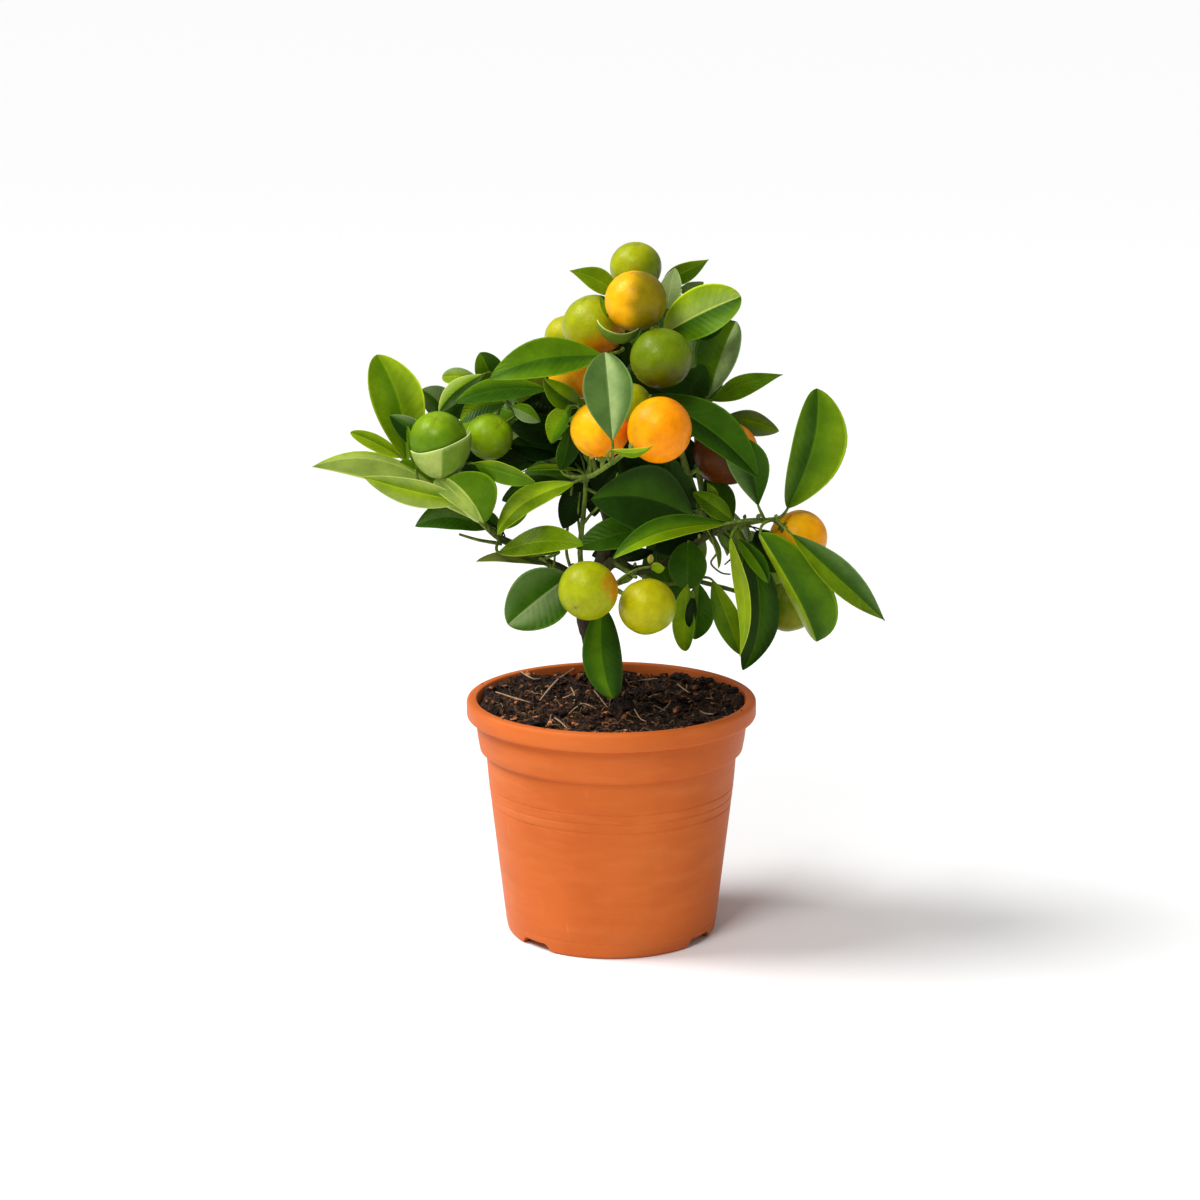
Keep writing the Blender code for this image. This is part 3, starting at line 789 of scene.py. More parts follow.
def add_bud(shape, centre, size, tint):
    """Closed egg shape that points up and a little aside."""
    parts = [(i + 0.5) / BUD_RINGS for i in range(BUD_RINGS)]
    rings = [(2.0 * size * (t - 0.5), 0.62 * size * math.sin(math.pi * t) ** 0.7, 0.0) for t in parts]
    add_turned(shape, centre, Vector((0.2, -0.2, 1.0)), (0.3, 0.8, 0.5), rings, 10, tint)


def make_wood(stalks):
    """Trunk, limbs, twigs, petioles, stalks and buds in one piece."""
    shape = Shape()
    for points, thick, thin in (TRUNK, *LIMBS, *TWIGS):
        add_branch(shape, [seen(*point) for point in points], thick, thin)
    for origin, control, end, thick, thin in stalks:
        path = [bow_curve(origin, control, end, t) for t in (0, 0.2, 0.4, 0.6, 0.8, 1)]
        add_branch(shape, path, thick, thin, 2)
    for tint, buds in BUDS:
        for *point, size in buds:
            add_bud(shape, seen(*point), size, tint)
    shape.make("wood_grown", [BARK], "bark", ["wood"])


# ---------------------------------------------------------------- fruits

GREEN = srgb(86, 124, 12)
SPRING = srgb(118, 152, 8)
MOSS = srgb(88, 112, 4)
OLIVE = srgb(100, 122, 6)
BROWNED = srgb(130, 114, 4)
LIME = srgb(150, 160, 10)
YELLOW = srgb(170, 168, 10)
AMBER = srgb(240, 174, 6)
BRIGHT = srgb(255, 168, 2)
ORANGE = srgb(242, 142, 2)
TAWNY = srgb(196, 122, 10)
# Dark brown-orange that paints a fruit in shade: painted shade.
SHADED_ORANGE = srgb(74, 32, 2)
DUSKY = srgb(112, 118, 4)
SHADED = srgb(66, 72, 4)

# Across, up, depth, radius, ground colour, second colour, where that lies, its edges, axis; on the rows
# marked below these colours paint light and shade on the rind
FRUITS = (
    # Fruit 1: the second colour, lighter on top, is painted light.
    (-88, 259, -40, 14.7, GREEN, SPRING, (-0.3, -0.3, 0.9), 0.45, 1, (-0.05, -0.5, 0.86)),
    # Fruit 2: the second colour, darker on the lower right, is painted shade.
    (-62, 260.5, -22, 12, SPRING, MOSS, (0.7, 0, -0.7), 0.1, 0.8, (0.45, -0.6, 0.6)),
    (-6, 264, -50, 15, AMBER, ORANGE, (0.7, -0.2, -0.7), -0.1, 0.7, (-0.3, -0.4, -0.85)),
    # Fruit 4: the second colour, yellower on the upper left, is painted light.
    (24.3, 264, -62, 17, ORANGE, AMBER, (-0.7, -0.4, 0.6), 0.3, 1, (0.95, -0.25, -0.2)),
    (12, 346.5, 5, 13, LIME, OLIVE, (0.8, -0.2, -0.5), -0.1, 0.8, (0.1, -0.2, 0.95)),
    (12, 329.5, -24, 15.7, AMBER, BROWNED, (0.95, -0.3, 0), -0.2, 0.42, (-0.1, -0.1, 0.95)),
    (-9, 317, -2, 16, LIME, TAWNY, (0.5, -0.3, -0.8), 0.25, 0.9, (-0.3, -0.2, 0.9)),
    (-22, 311, 34, 12, LIME, YELLOW, (-0.4, -0.3, 0.8), 0.3, 1, (-0.3, 0.1, 0.9)),
    (-18, 293, -22, 14, AMBER, TAWNY, (0.5, -0.2, -0.7), -0.3, 0.6, (0.1, 0.2, 0.9)),
    # Fruit 10: the second colour, darker underneath, is painted shade.
    (25, 300.5, -40, 15.8, OLIVE, SHADED, (0.3, -0.2, -0.9), 0, 0.85, (-0.2, -0.1, 0.95)),
    (9, 277, -20, 11.5, LIME, YELLOW, (-0.6, -0.3, 0.6), 0.1, 0.9, (0.1, 0.2, 0.9)),
    # Fruit 12: the dark ground is painted shade; the orange on its right rim is the rind's own colour.
    (58, 252, -10, 17, SHADED_ORANGE, ORANGE, (0.85, -0.2, 0.5), 0.62, 0.92, (0.1, 0.2, 0.9)),
    # Fruit 13: the second colour, yellower on the upper left, is painted light.
    (95.5, 208, -5, 15, BRIGHT, AMBER, (-0.5, -0.4, 0.8), 0.1, 0.9, (-0.3, 0.2, 0.9)),
    (91.5, 172, 12, 13.5, DUSKY, OLIVE, (-0.4, -0.5, 0.6), 0.2, 1, (-0.2, 0.2, 0.9)),
    (-12, 180.5, -62, 15.5, LIME, TAWNY, (0.93, -0.3, 0.25), 0.72, 1, (-0.45, -0.75, -0.45)),
    # Fruit 16: the second colour, darker on the lower right, is painted shade.
    (18.5, 172, -50, 15, YELLOW, LIME, (0.6, 0, -0.7), 0, 0.8, (-0.35, 0.1, 0.93)),
)
FRUIT_SIDES = 56
FRUIT_BANDS = 40
FLATTENING = 0.035
LOBE_DEPTH = 0.006
SCAR = srgb(120, 104, 40)
CALYX_GREEN = srgb(110, 138, 52)
# Height, radius and depth of the lobes of each ring of the green cup where a stalk meets its fruit
CALYX_RINGS = (
    (2.34, 0.78, 0.0), (1.43, 1.612, 0.451), (0.13, 2.6, 0.728), (-0.65, 2.236, 0.626), (0.0, 1.04, 0.0),
)


def make_fruit(name, u, v, depth, radius, ground, second, toward, low, high, axis):
    """Slightly flattened fruit with a dimple, a brown scar and a second colour on one side, which on some
    fruits is painted light and shade.
    """
    centre = seen(u, v, depth)
    size = radius * MM * growth(depth)
    axis, side, other = square_to(Vector(axis), (0.31, 0.77, 0.13))
    toward = Vector(toward).normalized()
    shape = Shape()
    seed = Vector((u, v, depth)) * 0.37
    rings = []
    for i in range(FRUIT_BANDS + 1):
        t = math.pi * (i + 0.35) / (FRUIT_BANDS + 0.7)
        dimple = 0.045 * bell(t, 0.0, 0.20) + 0.035 * bell(t, math.pi, 0.24)
        ring = []
        for k, (cos, sin) in enumerate(around(FRUIT_SIDES)):
            out = axis * math.cos(t) + (side * cos + other * sin) * math.sin(t)
            flat = 1.0 - FLATTENING * math.cos(t) ** 2
            lobes = LOBE_DEPTH * math.cos(10.0 * math.pi * k / FRUIT_SIDES) * bell(t, 0.0, 0.6)
            swell = 1.0 + 0.010 * noise.noise(out * 1.6 + seed) + 0.003 * noise.noise(out * 6.0 + seed)
            edge = out.dot(toward) + 0.16 * noise.noise(out * 2.2 + seed)
            edge += 0.05 * noise.noise(out * 7.0 + seed)
            # On fruits 1, 2, 4, 10, 13 and 16 the second colour is painted light and shade, and on fruit 12
            # the dark ground is painted shade.
            colour = ground.lerp(second, smooth(low, high, edge))
            colour = colour * (1.0 + 0.10 * noise.noise(out * 5.0 + seed))
            colour = colour.lerp(SCAR, 0.75 * bell(t, 0.0, 0.075))
            ring.append(shape.vert(centre + out * size * (flat - dimple + lobes) * swell, colour))
        rings.append(ring)
    shape.skin(rings)
    shape.make(name + "_whole", [RIND], "fruit_rind", [name])


def make_fruits(stalks):
    """Fruits, with the stalks and calyces that hold them."""
    cups = Shape()
    for number, row in enumerate(FRUITS, 1):
        make_fruit(f"fruit_{number:02d}", *row)
        u, v, depth, radius = row[:4]
        centre = seen(u, v, depth)
        origin = nearest_on_limbs(centre)
        reach = (centre - origin).normalized()
        skin = centre - reach * radius * 0.965 * MM * growth(depth)
        add_turned(cups, skin, -reach, (0.2, 0.9, 0.4), CALYX_RINGS, 25, CALYX_GREEN)
        control = origin.lerp(skin, 0.55) + UP * 0.8 * MM
        stalks.append((origin, control, skin - reach * 0.5 * MM, 1.3, 1.05))
    cups.make("fruit_calyces", [BARK], "bark")


# ---------------------------------------------------------------- leaves

# Upper and lower face of each tone; "a>b" goes from a at the midrib to b at the edge. "black", and "deep" on
# leaves inside the crown, are painted shade; "grey", "silver" and "sage" are mostly painted sheen and
# painted light.
TONES = {
    "black": (srgb(10, 30, 4), srgb(24, 46, 12)),
    "deep": (srgb(26, 54, 8), srgb(70, 98, 32)),
    "dark": (srgb(46, 82, 8), srgb(98, 126, 40)),
    "mid": (srgb(78, 114, 8), srgb(118, 146, 44)),
    "fresh": (srgb(106, 136, 10), srgb(142, 164, 54)),
    "lime": (srgb(142, 170, 24), srgb(164, 182, 64)),
    "pale": (srgb(146, 168, 76), srgb(156, 174, 92)),
    "silver": (srgb(156, 180, 116), srgb(176, 196, 134)),
    "grey": (srgb(104, 126, 78), srgb(140, 156, 104)),
    "sage": (srgb(80, 110, 52), srgb(118, 142, 88)),
    "straw": (srgb(118, 128, 50), srgb(132, 140, 70)),
}

# Where each kind of blade is widest, and how fast it narrows to its base and tip
OUTLINES = {
    "oval": (0.50, 0.80, 0.72),
    "spoon": (0.64, 1.05, 0.52),
    "lance": (0.44, 0.80, 1.05),
    "round": (0.50, 0.55, 0.52),
    "strap": (0.55, 0.60, 0.50),
    "blunt": (0.66, 0.95, 0.40),
    "paddle": (0.56, 0.45, 0.44),
    "dart": (0.62, 1.10, 0.85),
    "wedge": (0.86, 1.15, 0.35),
    "tongue": (0.62, 0.50, 0.32),
    "shield": (0.60, 0.72, 0.46),
}

# Base (across, up, depth), tip, width, roll, tone of the left and right half looking along
# the blade, outline, fold, arch, sideways bow; what a row leaves out is as in add_blade.
# Rows stand for leaf_01 to leaf_40, and leaf_05 has the columns of a curled leaf.
# The two halves' tones, and a tone's change from midrib to edge, paint the light and shade of a leaf's fold
# and curl as well as its own colour.
LEAVES = (
    ((-67, 216, -30), (-150, 247.5, -58), 22, 38, "pale/pale>lime", "dart", -36, 3, 14),
    ((-104, 246, -14), (-118, 301.5, -26), 27, 2, "mid>fresh/fresh>lime", "spoon", 14, 3, 4),
    ((-65, 215.5, -46), (-84, 238.5, -50), 30, -36, "pale/mid", "round", -28, 0, 3),
    ((-61, 213.5, -6), (-100, 215.5, -14), 22, 40, "dark/sage>dark", "oval", 16, 2, 4),
    ((-87, 259, -40), 15.2, 19.4, 15.6, (-5, -6.5, -4.5, 0, 4), 175, ("pale", "dark")),
    ((-19, 237, -28), (-59, 211.5, -44), 18, 45, "fresh/lime>fresh", "oval", 10, 2, 4.5),
    ((-58, 200.5, -22), (-15.5, 206, -44), 20, -45, "fresh", "oval", 8, 3, -1),
    ((25, 214, -20), (-18, 204, -30), 20, 35, "dark", "oval", 10, 2),
    ((42, 219, -30), (-9, 228, -50), 35, 0, "deep/dark>deep", "oval", 12, 3, 5),
    ((0.5, 258, -80), (-3.5, 303, -84), 25, 0, "sage/silver>sage", "spoon", 16, 2),
    ((-4, 302, -42), (-61, 291.5, -58), 21, 22, "dark>mid/mid", "oval", 8, 3, 3),
    ((27, 313.5, -10), (64, 332, -22), 26, -16, "pale>lime/dark>mid", "paddle", 14, 3),
    ((49, 281, -2), (61.5, 319, -10), 28, -25, "mid>dark/silver>grey", "blunt", 30, 2),
    ((51, 279, 0), (86.5, 291, -8), 14, 38, "mid", "lance", 8, 2, -5),
    ((20, 282, -32), (75, 241, -44), 25, -25, "dark/deep>dark", "oval", 28, 2, -3),
    ((58, 271, 12), (84.5, 262.5, 6), 17.5, 45, "fresh>grey", "oval", 8, 2, -4),
    ((75, 224.5, -20), (60, 260, -38), 20, 5, "deep>sage/dark", "spoon", 10, 2, 3.5),
    ((90, 223.5, -14), (105, 284, -24), 34, 26, "dark>mid/mid>fresh", "shield", 28, 3, 3),
    ((92, 210, -48), (143, 164, -22), 18.5, -14, "dark>sage/fresh", "lance", 30, 2, 1),
    ((76, 210.5, -38), (104.5, 151.5, -28), 34.5, 40, "dark>mid/lime", "tongue", -36, 2, -5.5),
    ((71, 207, -12), (68, 137, -4), 21, 0, "dark>deep/deep", "oval", 8, 3, -7),
    ((61, 208.5, -30), (63.5, 145, -26), 15, 58, "lime", "lance", 8, -5, -3),
    ((45, 184, -6), (43, 154, 0), 18, 0, "dark/mid", "oval", 8, 2),
    ((58, 215.5, -48), (1, 199.5, -66), 16, 38, "fresh/mid>dark", "oval", 22, 3, 3),
    ((-5, 172, -40), (1, 123, -50), 20, 0, "dark>deep/mid>dark", "strap", 8, 2, 3),
    ((-22, 188, -38), (-53, 163, -54), 30, 5, "grey>dark/dark>sage", "round", 8, 3),
    ((-59, 287, 0), (-66, 303, -8), 15, 10, "mid/dark", "round"),
    ((-33, 285, -10), (-79, 279, -26), 14, 30, "dark/dark>mid", "oval", 8, 2, 2),
    ((-15.5, 276, -26), (-33.5, 289, -54), 13, -10, "dark>mid/fresh>mid", "oval", 8, 1, -1),
    ((25, 338, 8), (48.5, 349.5, 2), 12, 30, "fresh/mid", "lance", 8, 1, -1),
    ((18, 262, 58), (40, 296, 76), 26, 0, "mid", "oval", 8, 3),
    ((-10, 262, 62), (-40, 288, 80), 26, 0, "dark/mid", "oval", 8, 3),
    ((40, 240, 56), (67, 258, 74), 22, 0, "mid/dark", "oval", 8, 3),
    ((-38, 250, 52), (-76, 274, 62), 24, 10, "fresh/mid", "spoon", 8, 3),
    ((62, 208, 40), (100, 180, 56), 25, 0, "mid/fresh", "oval", 8, 3),
    ((-21, 190, 30), (-44, 168, 52), 22, 0, "dark/mid", "oval", 8, 3),
    ((20, 208, 48), (34, 170, 66), 25, 0, "dark", "oval", 8, 3),
    ((14, 236, 62), (28, 220, 88), 26, 0, "mid", "oval", 8, 3),
    ((-12, 240, 62), (-46, 240, 84), 25, 10, "dark", "oval", 8, 3),
    ((2, 300, 44), (16, 318, 72), 24, 0, "mid/fresh", "spoon", 8, 3),
)

# Small front leaves with no solid of their own: the same columns, in four pieces
SMALL_LEAVES = {
    "small_leaves_left": (
        ((-76, 227, -38), (-125, 238.5, -64), 15, -20, "lime>pale/fresh>pale", "oval", 16, 2),
        ((-73, 223, -30), (-107.5, 247.5, -34), 12, 0, "fresh/mid", "paddle", 8, 0, 1),
        ((-107, 250, -14), (-132, 263, -22), 9, 20, "lime/fresh>lime", "strap", 12),
        ((-99.5, 243, -42), (-103.5, 266, -42), 4, 0, "mid/fresh", "oval", 6),
        ((-67, 216, -50), (-89, 239.5, -46), 11, 0, "pale", "wedge", 4, 0, 1),
        ((-92, 254, -34), (-112, 271.5, -37), 13, 20, "deep/dark>grey", "oval", 10),
        ((-70, 247, -44), (-39.5, 236, -52), 13, 38, "mid>fresh/mid", "oval", 10, 2, -2),
        ((-17, 243.5, -10), (-46, 243.5, -20), 6, 60, "mid/fresh", "lance", 6, 1, 1),
        ((-50.5, 276, -20), (-36.5, 268, -26), 9, 20, "mid/grey", "oval", 8, 1, -1),
        ((-33, 194, -14), (-69, 197.5, -20), 15, 68, "straw", "oval", 6, 2),
        ((-27, 201, -10), (-48, 200, -16), 13, 60, "mid", "oval", 6),
        ((-66, 289.5, -2), (-85.5, 291, -6), 9, 10, "lime/lime>silver", "blunt", 8, 1, 1),
        ((-65, 292.5, -14), (-87.5, 273, -22), 11, 5, "dark>grey/fresh>pale", "oval", -20, 1, 2.5),
        ((-54, 278, -10), (-77, 268, -14), 13, 25, "dark/fresh", "oval", 14, 1, 2.5),
        ((-84, 270, -6), (-96, 284.5, -10), 16, 20, "dark>grey/grey", "round", 8, 1, 2),
        ((-70, 284, -6), (-84, 270, -10), 15, 10, "deep/dark"),
        ((-20, 277, -36), (-31.5, 257, -30), 13, 30, "mid>dark/fresh", "oval", 18, 1, 1),
        ((-26, 243, -24), (-20.5, 266, -30), 13, 30, "dark/deep", "oval", 18),
    ),
    "small_leaves_top": (
        ((0, 253.5, -84), (21, 255.5, -92), 5.5, 35, "lime/fresh", "lance", 8, 1, 2),
        ((4, 333, -2), (-20.5, 345, -8), 13, 22, "fresh", "lance", 10, 1, 1),
        ((28, 325, 0), (32, 345.5, -4), 12, 10, "silver", "oval", 14, 1, -1),
        ((34, 334, -2), (46, 338.5, -6), 10, 40, "grey/mid", "oval", 6),
        ((37, 311, -8), (57, 318.5, -14), 12, 50, "dark/deep", "oval", 6),
        ((36, 278, -4), (47, 296, -8), 17, 0, "deep", "oval", 6),
        ((38, 270, -30), (60, 251, -36), 9, 10, "deep", "oval", 6),
    ),
    "small_leaves_right": (
        ((65, 208, -22), (80, 184, -26), 11, 35, "deep>dark/mid", "oval", 10, 1, -3),
        ((52, 186, -4), (66.5, 145.5, 2), 14, 15, "fresh/mid", "oval", 8, 2, -1),
        ((39, 183, -12), (37, 148, -8), 13, 25, "fresh>mid/fresh", "strap", 12),
        # A small near-black leaf over the leaf behind paints a shadow spot on it.
        ((42, 177, -15), (40, 161, -13), 6, 0, "black", "round", 6),
        ((39, 206, -8), (39, 181, -12), 20, 0, "dark", "round", 8, 2),
        ((20, 193, -44), (27, 192, -48), 6, 30, "lime", "oval", 4, 0),
        ((62, 217, -14), (42, 232, -20), 11, 15, "mid/fresh>mid", "oval", 10),
        ((62, 218, -4), (48, 240, 0), 15, 10, "deep/dark"),
        ((53, 225, -12), (49, 237, -16), 6, 20, "fresh", "lance"),
        ((1, 231, -14), (3, 240.5, -18), 5, 20, "lime/fresh", "lance", 8, 0),
    ),
    # Leaves inside the crown, tinted near black: painted shade for its dark interior.
    "shade_leaves": (
        ((-24, 262, -6), (-51, 266, -12), 17, 20, "black"),
        ((-26, 252, -4), (-52, 257, -10), 15, 25, "black/deep"),
        ((-38, 248, -8), (-73, 246.5, -14), 14, 10, "deep/black"),
        ((-16, 282, 8), (-49, 276, 2), 24, 10, "black", "oval", 8, 2),
        ((-60, 250, -8), (-80, 243, -14), 14, 0, "deep/black", "round"),
        ((-10, 242, -2), (-30, 258, -8), 15, 15, "black"),
        ((-26, 238, -8), (-56, 228, -12), 14, 15, "black/deep"),
        ((-13, 240, 2), (-25, 213, -2), 15, 10, "black"),
        ((-8, 244, 2), (-9, 219, 0), 12, 10, "black"),
        ((-8, 230, 0), (9, 254, -6), 22, 10, "black"),
        ((43, 223, -14), (4, 250, -22), 30, 0, "black>deep", "oval", 8, 2),
        ((-55, 212.5, -8), (-43, 221, -6), 4, 0, "dark/mid", "oval", 8, 0),
        ((-56, 212, -4), (-70, 223, -8), 9, 0, "deep/dark", "oval", 8, 0),
        ((14, 250, -22), (3, 274, -26), 15, 0, "black"),
        ((26, 292, 2), (5, 286, 0), 14, 0, "black/deep"),
        ((12, 204, 12), (-10, 199, 8), 11, 10, "black"),
        ((22, 201, 6), (1, 197.5, 4), 7, 0, "black"),
        ((48, 210, 0), (22, 202, -4), 15, 15, "black"),
        ((46, 276, -4), (18, 286, -10), 20, 0, "black/deep"),
        ((40, 238, -2), (34, 262, -8), 18, 0, "black"),
        ((8, 296, 4), (-2, 312, 2), 16, 0, "black/deep"),
        ((-30, 268, 4), (-22, 290, 0), 20, 0, "black"),
        ((74, 212, 2), (88, 190, 0), 20, 0, "black/deep"),
    ),
}

# Middle of a curled leaf, its half width, its depth, its reach to the front, the heights of
# its rim from left to right, degrees it reaches round, tones of its left and right half,
# and the blade's flat tip beside it
TOP_CUP = ((4, 320, -28), 11.0, 12.0, 10.0, (0, -4.5, -6.8, -5.6, -2.2), 172.0, ("dark", "dark"))
TOP_CUP_TIP = ((-2, 321, -27), (-6, 332.5, -24), 5, 0, "mid/deep", "oval", 10, 0, 1)
CUP_RIM = srgb(166, 188, 112)

ROWS_ALONG = 22
# Share of the half width at which each column of the blade runs
COLUMNS = (0.0, 0.05, 0.14, 0.28, 0.46, 0.66, 0.84, 0.96, 1.0)
# In mm: half the thickness at the midrib and at the edge, the groove's width, and the waves
MIDRIB_THICKNESS = 0.22
EDGE_THICKNESS = 0.10
GROOVE_WIDTH = 0.55
EDGE_WAVE = 0.5
BLADE_WAVE = 0.35
# Share of its length by which a blade's tip droops
DROOP = 0.05


def breadth(kind, part):
    """Share of the full width at a point along a blade."""
    widest, low, high = OUTLINES[kind]
    if part < widest:
        return math.sin(0.5 * math.pi * part / widest) ** low
    return max(0.0, math.cos(0.5 * math.pi * (part - widest) / (1.0 - widest))) ** high


def add_blade(shape, seed, base, tip, width, roll, tone, kind="oval", fold=8, arch=1, bow=0, facing=None):
    """Thin closed blade with a grooved midrib, wavy edges and a tone for each half, which paints the light
    and shade of its fold as well as its colour.
    """
    along = (tip - base).normalized()
    length = (tip - base).length
    facing = facing or (VIEWPOINT - base)
    facing = (facing - facing.dot(along) * along).normalized()
    turn = math.radians(roll)
    face_out = math.cos(turn) * facing + math.sin(turn) * along.cross(facing)
    across = along.cross(face_out)
    rise = math.tan(math.radians(fold))
    left, _, right = tone.partition("/")
    halves = [[TONES[word] for word in half.split(">")] for half in (left, right or left)]
    shift = Vector((seed * 1.7, seed * 0.9, seed * 2.3))
    columns = [-c for c in COLUMNS[:0:-1]] + list(COLUMNS)
    top, under = [], []
    for i in range(ROWS_ALONG + 1):
        part = 0.5 - 0.5 * math.cos(math.pi * i / ROWS_ALONG)
        half = 0.5 * width * MM * math.cos(math.radians(fold)) * max(breadth(kind, part), 0.04)
        sway = part ** 1.2
        spine = base + along * length * part
        spine += (arch * face_out + bow * across) * MM * 4.0 * sway * (1.0 - sway)
        spine -= face_out * length * DROOP * part ** 3
        rows = ([], [])
        for q in columns:
            x = q * half
            ripple = EDGE_WAVE * MM * abs(q) ** 2 * noise.noise(Vector((part * 5.0, q, 0.0)) + shift)
            ripple += BLADE_WAVE * MM * noise.noise(Vector((part * 3.0, q * 1.5, 4.0)) + shift)
            bend = abs(x) * rise * (0.55 + 0.45 * abs(q))
            groove = bell(x, 0.0, GROOVE_WIDTH * MM) * MM
            thick = (MIDRIB_THICKNESS + (EDGE_THICKNESS - MIDRIB_THICKNESS) * abs(q)) * MM
            rippled = ripple * math.sin(math.pi * min(1.0, part + 0.05))
            middle = spine + across * x + face_out * (bend + rippled)
            upper = thick - 0.20 * groove * (1.0 - 0.6 * part)
            lower = -thick - 0.42 * groove * (1.0 - 0.75 * part)
            for side, lift in enumerate((upper, lower)):
                # Painted light and shade: each half takes its own tone, shading from midrib to edge.
                near, far = halves[q > 0.0][0][side], halves[q > 0.0][-1][side]
                colour = near.lerp(far, smooth(0.15, 0.85, abs(q)))
                colour = colour * (1.0 + 0.14 * noise.noise(Vector((part * 3.0, q, side)) + shift))
                rows[side].append(shape.vert(middle + face_out * lift, colour, (0.5 + 0.5 * q, part)))
        top.append(rows[0])
        under.append(rows[1])
    shape.sheet(top, under, 0)


def add_cup(shape, centre, across, down, toward, rim, spread, tones):
    """Leaf curled into a shallow cup, with the columns that TOP_CUP names."""
    middle = seen(*centre)
    front = (VIEWPOINT - middle).normalized()
    right = UP.cross(front).normalized()
    up = front.cross(right)
    steps = 28
    rows = 14
    lowest = -0.985 * down
    rim_line = spline(rim, 8)
    layers = []
    for layer, shift in enumerate((0.22, -0.22)):
        grid = []
        for i in range(rows + 1):
            part = i / rows
            line = []
            for k in range(steps + 1):
                t = k / steps
                spot = t * (len(rim_line) - 1)
                low = min(int(spot), len(rim_line) - 2)
                highest = rim_line[low] + (rim_line[low + 1] - rim_line[low]) * (spot - low)
                lift = lowest + (highest - lowest) * part ** 1.3
                heading = math.radians(spread) * (t - 0.5)
                reach = math.sqrt(max(0.0, 1.0 - min(1.0, (lift / down) ** 2)))
                place = middle + (right * math.sin(heading) * (across + shift) * reach
                                  + front * math.cos(heading) * (toward + shift) * reach
                                  + up * lift) * MM
                colour = TONES[tones[t > 0.52]][1 - layer]
                colour = colour * (1.0 + 0.12 * noise.noise(Vector((t * 3.0, part, layer))))
                colour = colour.lerp(CUP_RIM, 0.85 * smooth(0.90, 1.0, part))
                line.append(shape.vert(place, colour, (0.60 + 0.39 * part ** 8, t)))
            grid.append(line)
        layers.append(grid)
    shape.sheet(*layers, 1)


def petiole(base, tip, thickness=1.0):
    """Stalk from the nearest limb to a blade's base."""
    origin = nearest_on_limbs(base)
    heading = (tip - base).normalized()
    reach = (base - origin).length
    end = base + heading * 0.6 * MM
    control = (base - heading * 0.45 * reach).lerp(origin.lerp(base, 0.6), 0.35)
    return origin, control, end, 0.95 * thickness, 0.62 * thickness


def make_front_leaves(stalks):
    """Leaves that stand for solids, then the small ones between them."""
    solids = {f"leaf_{number:02d}": [row] for number, row in enumerate(LEAVES, 1)}
    seeds = itertools.count(1)
    for name, rows in {**solids, **SMALL_LEAVES}.items():
        shape = Shape()
        for row in rows:
            if name == "leaf_05":
                add_cup(shape, *row)
                continue
            base, tip, *form = row
            base, tip = seen(*base), seen(*tip)
            add_blade(shape, next(seeds), base, tip, *form)
            # The stalks of the leaves inside the crown are thin, so wood_tint gives them its painted shade.
            stalks.append(petiole(base, tip, 0.55 if name == "shade_leaves" else 1.0))
        if name in solids:
            shape.make(name + "_blade", LEAF_FACES, "leaf_blade", [name])
        else:
            shape.make(name, LEAF_FACES, "leaf_blade")
    shape = Shape()
    add_cup(shape, *TOP_CUP)
    base, tip, *form = TOP_CUP_TIP
    add_blade(shape, next(seeds), seen(*base), seen(*tip), *form)
    shape.make("curled_leaf", LEAF_FACES, "leaf_blade")


# Boxes on the board (lowest u, highest u, lowest v, highest v) that front leaves and fruits fill
COVERED = (
    (-56, 60, 244, 300), (-16, 58, 300, 328), (-100, -70, 224, 262), (72, 106, 160, 214),
    (16, 62, 214, 300), (-46, -26, 168, 186), (-4, 56, 262, 336), (34, 62, 190, 216),
    (-6, 44, 206, 240), (-78, -56, 256, 286),
)
# Middle of the crown, and how far from it the back leaves start along each axis
HEART = Vector((0.005, 0.015, 0.245))
BACK_REACH = Vector((0.105, 0.078, 0.080))
BACK_TONES = ("dark", "mid/dark", "mid", "fresh/mid", "deep/dark")
BACK_COUNT = 62
BACK_TRIES = 6000
# Lowest height of the middle of a leaf in each group
BACK_GROUPS = (("back_leaves_high", 0.27), ("back_leaves_middle", 0.225), ("back_leaves_low", 0.0))
# Nearest and farthest y of a back leaf, and the clearance between two and from a fruit
NEAREST_Y = 0.006
FARTHEST_Y = 0.0885
LEAF_GAP = 0.017
FRUIT_GAP = 0.012


def hidden(points):
    """True if every point's sight line goes through a covered box."""
    return all(
        any(a <= u <= b and c <= v <= d for a, b, c, d in COVERED)
        for u, v in map(on_board, points)
    )


def is_free(middle, taken):
    """True if a back leaf's middle is clear of the other back leaves and of the fruits."""
    if any((middle - other).length < LEAF_GAP for other in taken):
        return False
    return not any((middle - seen(*row[:3])).length < row[3] * MM + FRUIT_GAP for row in FRUITS)


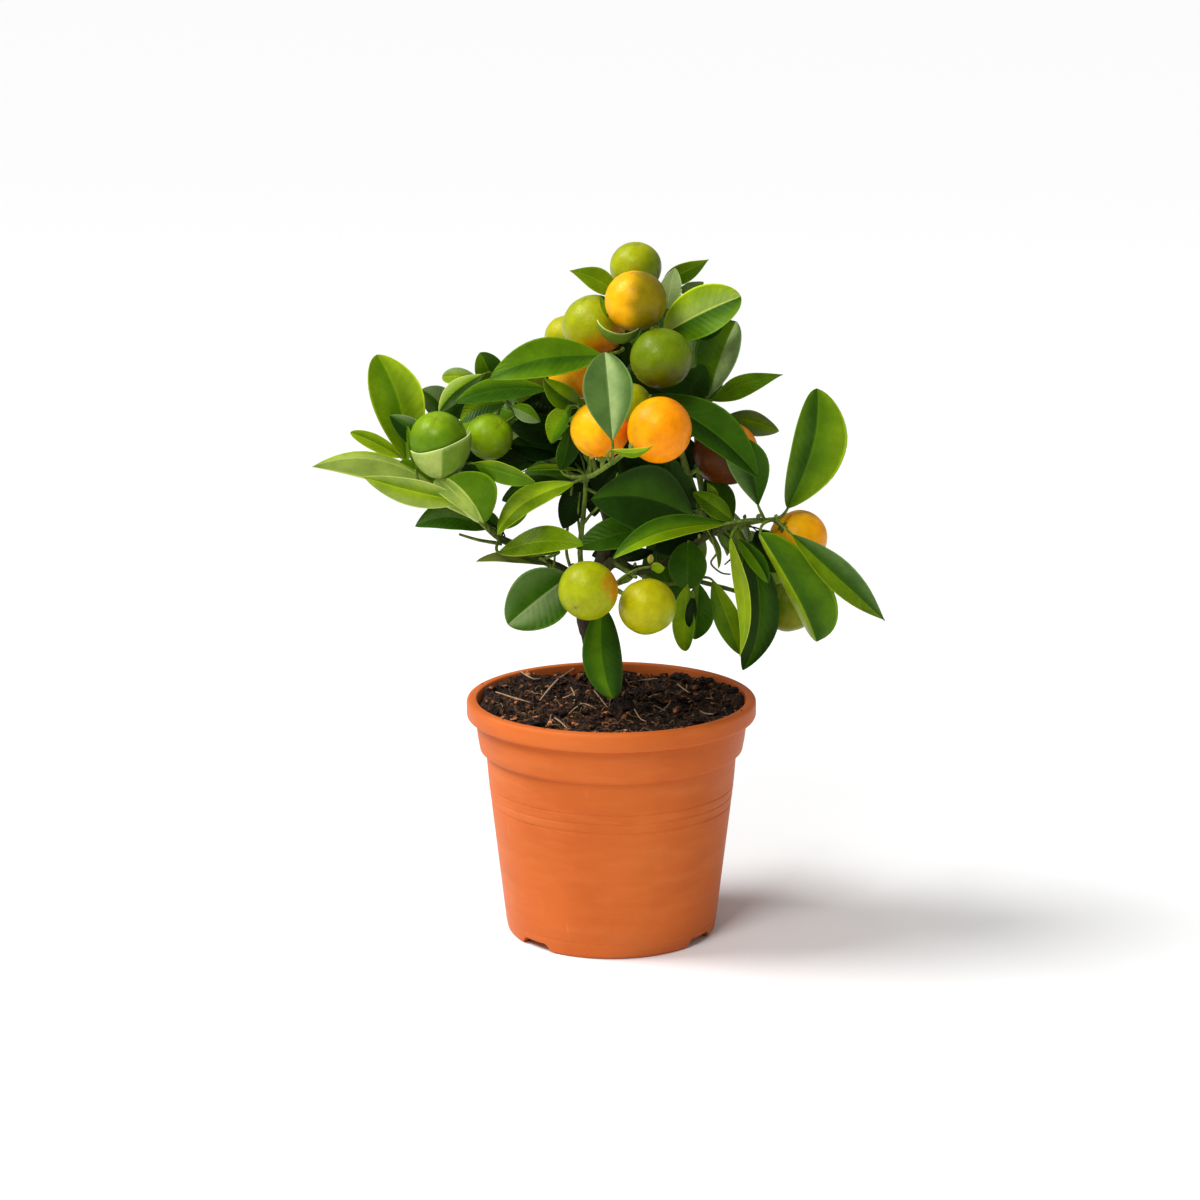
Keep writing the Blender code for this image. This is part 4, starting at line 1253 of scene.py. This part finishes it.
def make_back_leaves(stalks):
    """Leaves behind the front ones, fanned outwards on the far side of the crown."""
    rng = random.Random(7)
    groups = {name: Shape() for name, _ in reversed(BACK_GROUPS)}
    taken = []
    for _ in range(BACK_TRIES):
        if len(taken) == BACK_COUNT:
            break
        a = rng.uniform(-0.15 * math.pi, 1.15 * math.pi)
        lift = rng.uniform(-0.75, 0.95)
        flat = math.sqrt(1.0 - lift * lift)
        out = Vector((math.cos(a) * flat, math.sin(a) * flat, lift))
        base = HEART + out * BACK_REACH * rng.uniform(0.35, 0.92)
        stray = Vector((rng.uniform(-0.6, 0.6), rng.uniform(-0.5, 0.5), rng.uniform(-0.5, 0.35)))
        heading = (out + stray).normalized()
        length = rng.uniform(30.0, 52.0)
        tip = base + heading * length * MM
        width = length * rng.uniform(0.42, 0.55)
        wide = heading.cross(UP).normalized() * width * 0.5 * MM
        middle = base.lerp(tip, 0.5)
        if base.y < NEAREST_Y or tip.y > FARTHEST_Y or not is_free(middle, taken):
            continue
        if not hidden((base, tip, middle + wide, middle - wide)):
            continue
        taken.append(middle)
        group = next(name for name, lowest in BACK_GROUPS if middle.z >= lowest)
        tone = rng.choice(BACK_TONES)
        roll = rng.uniform(-25, 25)
        arch = rng.uniform(1, 3)
        fold = rng.uniform(5, 14)
        bow = rng.uniform(-2, 2)
        facing = (UP * 0.9 + out * 0.8).normalized()
        form = (width, roll, tone, "oval", fold, arch, bow, facing)
        add_blade(groups[group], 200.0 + len(taken), base, tip, *form)
        stalks.append(petiole(base, tip, 0.7))
    for name, shape in groups.items():
        shape.make(name, LEAF_FACES, "leaf_blade")


# ---------------------------------------------------------------- stage

def aim(thing, target):
    """Turn a light or the camera towards a point."""
    thing.rotation_euler = (Vector(target) - thing.location).to_track_quat("-Z", "Y").to_euler()


def add_light(name, kind, place, target, energy):
    """Light that shines from a place towards a target."""
    lamp = bpy.data.lights.new(name, kind)
    lamp.energy = energy
    made = place_object(name, lamp)
    made.location = place
    aim(made, target)
    return lamp


def make_stage():
    """Camera, soft studio light and a plain pale floor."""
    scene = bpy.context.scene
    camera = place_object("camera", bpy.data.cameras.new("camera"))
    camera.data.lens = 83.76
    camera.data.sensor_width = 36.0
    camera.location = VIEWPOINT
    aim(camera, (VIEWPOINT.x, 0.0, 0.1755))
    scene.camera = camera
    scene.view_settings.view_transform = "Standard"

    world = bpy.data.worlds.new("studio")
    world.use_nodes = True
    back = world.node_tree.nodes["Background"]
    back.inputs["Color"].default_value = (1.0, 1.0, 1.0, 1.0)
    back.inputs["Strength"].default_value = 0.30
    scene.world = world
    softbox = add_light("softbox", "AREA", (-0.62, -1.25, 1.55), target=(0.0, 0.0, 0.17), energy=19.0)
    softbox.shape = "SQUARE"
    softbox.size = 0.65
    side_light = add_light("side_light", "SUN", (-0.64, 0.02, 0.78), target=(0.0, 0.0, 0.0), energy=3.05)
    side_light.angle = math.radians(31.0)

    ground = Shape()
    half = 60.0
    corners = ((-half, -half), (half, -half), (half, half), (-half, half))
    ground.face([ground.vert((x, y, 0.0)) for x, y in corners])
    floor = place_object("floor", ground.mesh("floor"))
    floor.data.materials.append(Nodes("floor_white", 0.1).finish((0.95, 0.95, 0.95, 1.0), 0.9))


petioles = []
litter = random.Random(41)
make_stage()
make_pot()
make_soil()
make_crumbs(litter)
make_roots(litter)
make_fruits(petioles)
make_front_leaves(petioles)
make_back_leaves(petioles)
make_wood(petioles)
